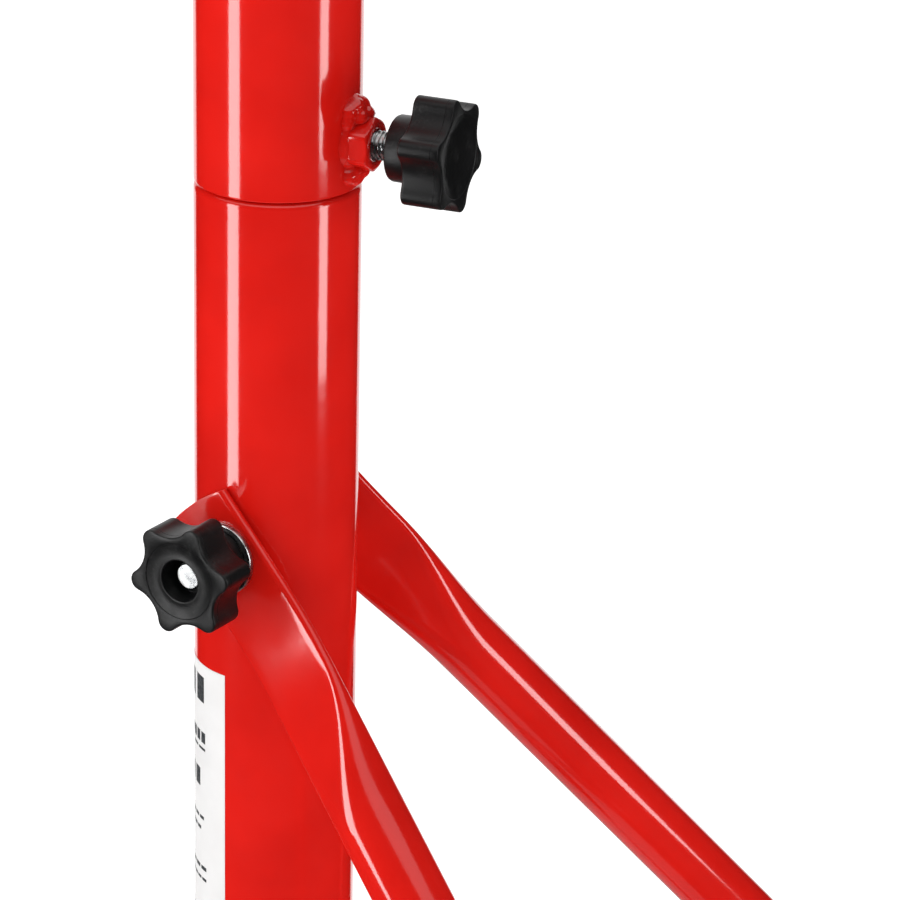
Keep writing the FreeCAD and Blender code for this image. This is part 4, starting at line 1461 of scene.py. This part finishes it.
@dataclass
class Label:
    """Film wrapped round the lower column with plain bars for print."""

    margin: float = 0.03 * MM
    rows: tuple[PrintRow, ...] = (
        PrintRow(4.8, 10.0, 11.4, 50.0, 6.2, 2.6), PrintRow(26.3, 4.2, 10.6, 46.0, 2.9, 1.1),
        PrintRow(32.4, 1.0, 10.6, 44.0, 5.0, 1.2), PrintRow(41.2, 7.0, 14.6, 40.0, 4.6, 2.2),
        PrintRow(59.6, 1.3, 11.6, 50.0, 3.4, 1.0), PrintRow(64.0, 1.3, 14.0, 50.0, 3.0, 1.0),
        PrintRow(79.4, 1.5, 10.0, 50.0, 3.8, 1.1), PrintRow(84.0, 1.1, 10.0, 46.0, 3.0, 0.9),
        PrintRow(98.0, 20.0, 34.0, 50.0), PrintRow(98.0, 2.6, 10.0, 30.0, 2.6, 0.9),
        PrintRow(105.0, 1.3, 10.0, 28.0, 3.1, 0.9), PrintRow(109.0, 1.3, 10.0, 25.0, 2.7, 0.9),
        PrintRow(113.0, 1.3, 10.0, 29.0, 3.6, 0.9), PrintRow(130.0, 6.0, 10.0, 50.0, 5.0, 1.6),
    )

    def build(self) -> None:
        """Build the film and its print."""
        low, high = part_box("label")
        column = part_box("lower_column")[1].x
        verts = frame["nodes"]["label"].data.vertices
        angles = [math.atan2(v.co.y, v.co.x) for v in verts]
        start, end = min(angles), max(angles)
        outer = max(math.hypot(v.co.x, v.co.y) for v in verts)
        film = self.patch(column, outer, start, end, low.z, high.z, 64)
        piece("label_film_wrap", film, "base", Slot.LABEL, ["label"], bevel=0.05 * MM)
        print_form = Form()
        for row in self.rows:
            top = high.z - row.top * MM
            for first, last in row.marks():
                near = end - first * MM / column
                far = end - last * MM / column
                print_form.add(self.patch(outer - 0.01 * MM, outer + self.margin, far, near,
                                          top - row.height * MM, top, 8))
        ink = piece("label_print_bars", print_form, "base", Slot.LABEL)
        ink.data.materials.clear()
        ink.data.materials.append(Ink().make())

    @staticmethod
    def patch(inner: float, outer: float, start: float, end: float, low: float, high: float,
              count: int) -> Form:
        """Curved plate between two radii, angles and heights."""
        rings = []
        for k in range(count + 1):
            a = start + (end - start) * k / count
            out = Vector((math.cos(a), math.sin(a), 0.0))
            rings.append([out * inner + UP * low, out * outer + UP * low,
                          out * outer + UP * high, out * inner + UP * high])
        return Form().skin(rings)


# ---------------------------------------------------------------- top of the stand
@dataclass
class HeightGear:
    """Extension tube, height pin, lifting nut with its bars, and the screw."""

    screw_pitch: float = 6.0 * MM

    def build(self) -> None:
        """Build or dress each piece."""
        for node, slot in (("extension_tube", Slot.TUBE), ("guide_ring", Slot.TUBE)):
            dress_node(node, slot)
        self.cap()
        self.pin()
        self.nut()
        self.screw()

    def cap(self) -> None:
        """Plug in the top of the extension tube."""
        low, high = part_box("tube_cap")
        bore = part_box("lift_screw")[1].x + 0.3 * MM
        outer = high.x
        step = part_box("extension_tube")[1].z
        corners = [(bore, low.z, 0.3 * MM), (outer - 3 * MM, low.z, 0.3 * MM),
                   (outer - 3 * MM, step, 0.0), (outer, step, 0.4 * MM),
                   (outer, high.z, 1.0 * MM), (bore, high.z, 0.5 * MM)]
        piece("tube_cap_plug", turned_solid(corners, 96), "extension", Slot.TUBE, ["tube_cap"])

    def pin(self) -> None:
        """Height pin with a turned head and a bent pull loop."""
        low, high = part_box("lock_pin")
        height = (low.z + high.z) / 2
        radius = 6.2 * MM
        head = (high.z - low.z) / 2
        length = high.x - low.x
        head_start = length - 18 * MM
        profile = [(0.0, 0.0, 0.0), (radius - 2 * MM, 0.0, 0.5 * MM), (radius, 4 * MM, 0.4 * MM),
                   (radius, head_start, 0.0), (head, head_start, 0.6 * MM),
                   (head, length - 11 * MM, 0.2 * MM), (head - 0.8 * MM, length - 10.5 * MM, 0.2 * MM),
                   (head - 0.8 * MM, length - 9 * MM, 0.2 * MM), (head, length - 8.5 * MM, 0.2 * MM),
                   (head, length, 1.0 * MM), (0.0, length, 0.0)]
        form = lathe(eased(profile, 4, closed=False), 64)
        across = Matrix.Translation((low.x, 0.0, height)) @ Matrix.Rotation(math.pi / 2, 4, "Y")
        piece("lock_pin_bar", form.moved(across), "lock_pin", Slot.ZINC, ["lock_pin"])
        low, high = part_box("pin_handle")
        x = (low.x + high.x) / 2
        wire = 2.5 * MM
        half = high.y - 3 * MM
        foot = low.z + 5 * MM
        bend = 10 * MM
        path = []
        for sign in (1, -1):
            arc = []
            for k in range(13):
                a = math.pi / 2 * k / 12
                arc.append(Vector((x, sign * (half - bend + bend * math.sin(a)),
                                   height - bend + bend * math.cos(a))))
            side = [Vector((x, 0.0, height)), *arc, Vector((x, sign * half, foot))]
            path.append(side)
        loop = Form()
        for side in path:
            loop.add(sweep_form(side, lambda t: wire, 20))
        piece("pin_pull_loop", loop, "lock_pin", Slot.ZINC, shading=Shading.SOFT)
        grip = turned_solid([(wire, 0.0, 0.0), (wire + 2.5 * MM, 0.0, 1.6 * MM),
                             (wire + 2.5 * MM, 2 * high.y, 1.6 * MM), (wire, 2 * high.y, 0.0)], 40)
        across = Matrix.Translation((x, high.y, foot)) @ Matrix.Rotation(math.pi / 2, 4, "X")
        piece("pin_pull_grip", grip.moved(across), "lock_pin", Slot.ZINC, ["pin_handle"])

    def nut(self) -> None:
        """Lifting nut, its turning bars and their grips."""
        low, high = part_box("lift_nut")
        radius = high.x
        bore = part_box("lift_screw")[1].x + 0.05 * MM
        corners = [(bore, low.z, 0.6 * MM), (radius, low.z, 0.8 * MM),
                   (radius, high.z - 5.6 * MM, 0.8 * MM), (radius - 2.5 * MM, high.z - 5 * MM, 0.8 * MM),
                   (radius - 2.5 * MM, high.z, 1.2 * MM), (bore, high.z, 1.2 * MM)]
        piece("lift_nut_body", turned_solid(corners, 96), "lift_nut", Slot.RED, ["lift_nut"])
        high_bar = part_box("nut_handles")[1]
        low_grip, high_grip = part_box("handle_grips")
        height = (low_grip.z + high_grip.z) / 2
        bar_radius = high_bar.x
        bars, grips, beads = Form(), Form(), Form()
        start = radius - 4 * MM
        grip_start = high_grip.y - 62 * MM
        rib = 1.1 * MM
        outer = high_grip.x
        for sign in (1, -1):
            turn = Matrix.Rotation(-sign * math.pi / 2, 4, "X")
            place = Matrix.Translation((0.0, 0.0, height)) @ turn
            bars.add(rod_form(bar_radius, high_bar.y - start, 0.5 * MM),
                     place @ Matrix.Translation((0, 0, start)))
            profile = [(bar_radius, 0.0, 0.0), (outer, 0.0, 1.0 * MM), (outer, 5 * MM, 0.8 * MM)]
            for k in range(8):
                z = (7 + 5.4 * k) * MM
                profile += [(outer - rib, z, 0.6 * MM), (outer - rib, z + 1.6 * MM, 0.6 * MM),
                            (outer, z + 2.4 * MM, 0.6 * MM), (outer, z + 4.6 * MM, 0.6 * MM)]
            end = high_grip.y - grip_start
            profile += [(outer, end, 4.0 * MM), (0.0, end, 0.0)]
            grips.add(lathe(eased(profile, 4, closed=False), 56),
                      place @ Matrix.Translation((0, 0, grip_start)))
            beads.add(weld_ring(bar_radius + 0.8 * MM, 1.9 * MM, 22),
                      place @ Matrix.Translation((0, 0, radius - 0.4 * MM)))
        piece("turning_bars", bars, "lift_nut", Slot.RED, ["nut_handles"])
        piece("turning_bar_grips", grips, "lift_nut", Slot.GRIP, ["handle_grips"])
        piece("turning_bar_welds", beads, "lift_nut", Slot.RED, shading=Shading.ROUND)

    def screw(self) -> None:
        """Trapezoidal lifting screw with its plain swivel pin."""
        low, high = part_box("lift_screw")
        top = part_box("saddle")[0].z - 0.3 * MM
        radius = high.x
        thread = thread_form(radius, self.screw_pitch, top - low.z, 2.8 * MM, 0.32, 56, 12)
        form = thread.moved(Matrix.Translation((0, 0, low.z)))
        swivel = rod_form(10 * MM, high.z - top + 2 * MM, 0.8 * MM)
        form.add(swivel, Matrix.Translation((0, 0, top - 2 * MM)))
        piece("lift_screw_thread", form, "lift_screw", Slot.SCREW, ["lift_screw"])


def dress_node(node: str, slot: Slot) -> None:
    """Give a CAD node that stays its finish."""
    thing = frame["nodes"][node]
    thing.data.materials.clear()
    thing.data.materials.append(WARDROBE.get(slot))
    LOG.info("dressed %s", node)


@dataclass
class Cradle:
    """Cast cradle with leaning arms, its rubber pad and set screw."""

    wall: float = 8.0 * MM
    lean: float = 10.0 * MM
    boss: float = 30.0 * MM

    def build(self) -> None:
        """Build the cradle's pieces."""
        low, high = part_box("saddle")
        pad_low, pad_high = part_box("saddle_pad")
        seat = pad_low.z
        half = high.x - self.wall - self.lean
        top = high.z
        base = seat - self.wall
        corners = [
            (-half - self.wall, base, 4 * MM), (half + self.wall, base, 4 * MM),
            (half + self.wall + self.lean, top, 3 * MM), (half + self.lean, top, 3 * MM),
            (half, seat, 5 * MM), (-half, seat, 5 * MM), (-half - self.lean, top, 3 * MM),
            (-half - self.wall - self.lean, top, 3 * MM),
        ]
        depth = 2 * min(high.y, 28 * MM)
        trough = slab_form(eased(corners, 5), depth)
        upright = Matrix(((1, 0, 0, 0), (0, 0, -1, 0), (0, 1, 0, 0), (0, 0, 0, 1)))
        piece("cradle_trough", trough.moved(upright), "saddle", Slot.CRADLE, ["saddle"],
              bevel=1.4 * MM)
        boss = turned_solid([(10.1 * MM, low.z, 0.6 * MM), (self.boss, low.z, 1.2 * MM),
                             (self.boss, base - 1 * MM, 0.5 * MM), (self.boss, base + 1 * MM, 0.0),
                             (10.1 * MM, base + 1 * MM, 0.0)], 96)
        piece("cradle_boss", boss, "saddle", Slot.CRADLE)
        self.pad(pad_low, pad_high)
        low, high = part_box("saddle_grub_screw")
        height = (low.z + high.z) / 2
        screw = hex_socket(2.5 * MM, high.x - 14 * MM)
        across = Matrix.Translation((14 * MM, 0.0, height)) @ Matrix.Rotation(math.pi / 2, 4, "Y")
        piece("cradle_grub_screw", screw.moved(across), "saddle", Slot.ZINC,
              ["saddle_grub_screw"])

    @staticmethod
    def pad(low: Vector, high: Vector) -> None:
        """Rubber pad with ribs across it."""
        half_x, half_y = high.x, high.y
        thickness = high.z - low.z
        outline = eased([(-half_x, -half_y, 4 * MM), (half_x, -half_y, 4 * MM),
                         (half_x, half_y, 4 * MM), (-half_x, half_y, 4 * MM)], 5)
        base = slab_form(outline, thickness * 0.6)
        form = base.moved(Matrix.Translation((0, 0, low.z + thickness * 0.3)))
        ribs = 9
        for k in range(ribs):
            y = half_y * 0.86 * (2 * k / (ribs - 1) - 1)
            bar = slab_form([(-half_x * 0.9, y - 1.5 * MM), (half_x * 0.9, y - 1.5 * MM),
                             (half_x * 0.9, y + 1.5 * MM), (-half_x * 0.9, y + 1.5 * MM)],
                            thickness * 0.5)
            form.add(bar, Matrix.Translation((0, 0, high.z - thickness * 0.25)))
        piece("cradle_pad", form, "saddle", Slot.RUBBER, ["saddle_pad"], bevel=0.35 * MM)


def hex_socket(radius: float, length: float) -> Form:
    """Set screw along +Z with a hexagonal recess in its outer end."""
    count = 48
    depth = 3 * MM
    recess = []
    for height in (length, length - depth):
        ring = []
        for k in range(count):
            a = 2 * math.pi * k / count
            off = (a + math.pi / 6) % (math.pi / 3) - math.pi / 6
            r = 0.5 * radius / math.cos(off)
            ring.append(Vector((r * math.cos(a), r * math.sin(a), height)))
        recess.append(ring)
    rings = [circle(radius * 0.8, 0.0, count), circle(radius, 0.5 * MM, count),
             circle(radius, length - 0.4 * MM, count), circle(radius - 0.4 * MM, length, count)]
    return Form().skin(rings + recess)


# ---------------------------------------------------------------- studio
@dataclass
class Studio:
    """Floor, backdrop, lights and camera. Azimuths are degrees from the camera's own."""

    camera_azimuth: float = -162.5
    distance: float = 1.2586
    rise: float = 0.4011
    pitch: float = 21.63
    yaw: float = 2.74
    roll: float = 1.29
    lens: float = 156.0
    floor_radius: float = 14.0

    def build(self) -> None:
        """Build the whole studio."""
        self.camera()
        self.floor()
        self.world()
        self.lights()

    def around(self, azimuth: float, distance: float, height: float) -> Vector:
        """Point at an azimuth from the camera's, a distance from the column and a height."""
        a = math.radians(self.camera_azimuth + azimuth)
        return Vector((distance * math.cos(a), distance * math.sin(a), height))

    def camera(self) -> None:
        """Long-lens camera that looks down on the joint of the columns."""
        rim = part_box("upper_column")[0].z
        heading = math.radians(self.camera_azimuth + 180.0 - self.yaw)
        pitch = math.radians(self.pitch)
        ahead = Vector((math.cos(heading) * math.cos(pitch),
                        math.sin(heading) * math.cos(pitch), -math.sin(pitch)))
        right = Vector((math.sin(heading), -math.cos(heading), 0.0))
        above = right.cross(ahead)
        roll = math.radians(self.roll)
        tilted_right = right * math.cos(roll) + above * math.sin(roll)
        tilted_above = above * math.cos(roll) - right * math.sin(roll)
        lens = bpy.data.cameras.new("camera")
        lens.lens = self.lens
        lens.sensor_width = 36.0
        lens.clip_end = 100.0
        eye = bpy.data.objects.new("camera", lens)
        turn = Matrix((tilted_right, tilted_above, -ahead)).transposed().to_4x4()
        eye.matrix_world = Matrix.Translation(self.around(0.0, self.distance, rim + self.rise)) @ turn
        bpy.context.scene.collection.objects.link(eye)
        bpy.context.scene.camera = eye

    def staged(self, name: str, form: Form, net: Net) -> bpy.types.Object:
        """Add an object that isn't part of the stand."""
        mesh = bpy.data.meshes.new(name)
        mesh.from_pydata([tuple(p) for p in form.points], [], form.faces)
        mesh.polygons.foreach_set("use_smooth", [True] * len(mesh.polygons))
        mesh.materials.append(net.material)
        thing = bpy.data.objects.new(name, mesh)
        bpy.context.scene.collection.objects.link(thing)
        return thing

    def floor(self) -> None:
        """Pale floor that runs up into a round backdrop, and a dark card behind the camera."""
        net = Net("studio_floor")
        tone = net.blend((0.90, 0.90, 0.90), (0.94, 0.94, 0.94), net.speckle(net.place(), 0.4))
        net.finish(Base_Color=tone, Roughness=0.7, Specular_IOR_Level=0.1,
                   Emission_Color=(1.0, 1.0, 1.0), Emission_Strength=0.72)
        form = lathe([(1e-7, 0.0), (0.5, 0.0), (2.0, 0.0), (self.floor_radius, 0.0)], 96)
        floor = self.staged("studio_floor", form, net)
        floor.visible_glossy = False
        net = Net("studio_backdrop")
        net.finish(Base_Color=(0.0, 0.0, 0.0), Emission_Color=(1.0, 1.0, 1.0),
                   Emission_Strength=1.15, Specular_IOR_Level=0.0)
        wall = self.floor_radius - 0.5
        form = lathe([(wall, -8.0), (wall, 8.0), (wall * 0.6, 12.0), (1e-7, 13.0)], 96)
        drop = self.staged("studio_backdrop", form, net)
        drop.visible_diffuse = False
        drop.visible_shadow = False
        self.card()

    def card(self) -> None:
        """Dark card round the front, seen only in reflections."""
        net = Net("studio_card")
        net.finish(Base_Color=(0.01, 0.01, 0.01), Roughness=1.0, Specular_IOR_Level=0.0)
        reach = 148.0
        steps = 48
        points = []
        for k in range(steps + 1):
            azimuth = reach * (2 * k / steps - 1)
            points += [self.around(azimuth, 2.6, -3.5), self.around(azimuth, 2.6, 2.6)]
        faces = [(2 * k, 2 * k + 2, 2 * k + 3, 2 * k + 1) for k in range(steps)]
        card = self.staged("studio_card", Form(points, faces), net)
        card.visible_camera = False
        card.visible_diffuse = False
        card.visible_shadow = False
        card.visible_transmission = False

    def world(self) -> None:
        """Soft even light from all round."""
        world = bpy.data.worlds.new("studio")
        world.use_nodes = True
        background = world.node_tree.nodes["Background"]
        background.inputs["Color"].default_value = (1.0, 1.0, 1.0, 1.0)
        background.inputs["Strength"].default_value = 0.34
        bpy.context.scene.world = world
        view = bpy.context.scene.view_settings
        view.view_transform = "Standard"
        view.look = "None"

    def lights(self) -> None:
        """Two tall strips that draw the highlights, and soft boxes for the body colour."""
        self.box("strip_left", -61.6, 0.75, 0.49, 0.22, 0.66, 3.7, diffuse=False)
        self.box("strip_right", 64.0, 0.85, 0.56, 0.19, 0.66, 2.7, diffuse=False)
        self.box("key_left", -70.0, 1.7, 1.1, 1.0, 1.6, 20.0, glossy=False)
        self.box("fill_right", 60.0, 2.2, 0.9, 1.0, 1.4, 14.0, glossy=False)
        self.box("top", 0.0, 0.6, 2.6, 1.4, 1.4, 11.0, glossy=False)

    def box(self, name: str, azimuth: float, distance: float, height: float, width: float,
            tall: float, power: float, diffuse: bool = True, glossy: bool = True) -> None:
        """Rectangular light that faces the column.

        Args:
            name: name of the light.
            azimuth: degrees from the camera's azimuth, positive to the right.
            distance: distance from the column's axis.
            height: height of its middle.
            width: width of the panel.
            tall: height of the panel.
            power: power in watts.
            diffuse: whether it lights matt surfaces.
            glossy: whether it shows in reflections.
        """
        lamp = bpy.data.lights.new(name, "AREA")
        lamp.shape = "RECTANGLE"
        lamp.size = width
        lamp.size_y = tall
        lamp.energy = power
        thing = bpy.data.objects.new(name, lamp)
        spot = self.around(azimuth, distance, height)
        target = Vector((0.0, 0.0, min(height, 0.7)))
        thing.rotation_euler = (target - spot).to_track_quat("-Z", "Y").to_euler()
        thing.location = spot
        thing.visible_camera = False
        thing.visible_diffuse = diffuse
        thing.visible_glossy = glossy
        bpy.context.scene.collection.objects.link(thing)


def main() -> None:
    """Build the studio and then the stand, from the floor up."""
    logging.basicConfig(level=logging.INFO, format="%(name)s: %(message)s")
    Studio().build()
    legs = [Leg(side) for side in Side]
    Columns().build()
    for leg in legs:
        LegSet(leg).build()
    low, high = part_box("rear_shoe")
    rear = Matrix.Translation((0.0, low.y, 0.0)) @ Matrix.Rotation(math.pi / 2, 4, "Z")
    Shoe().build("rear_shoe", high.y - low.y, rear)
    Label().build()
    Fastenings().build(legs)
    Clamp().build()
    HeightGear().build()
    Cradle().build()


if __name__ == "__main__":
    main()
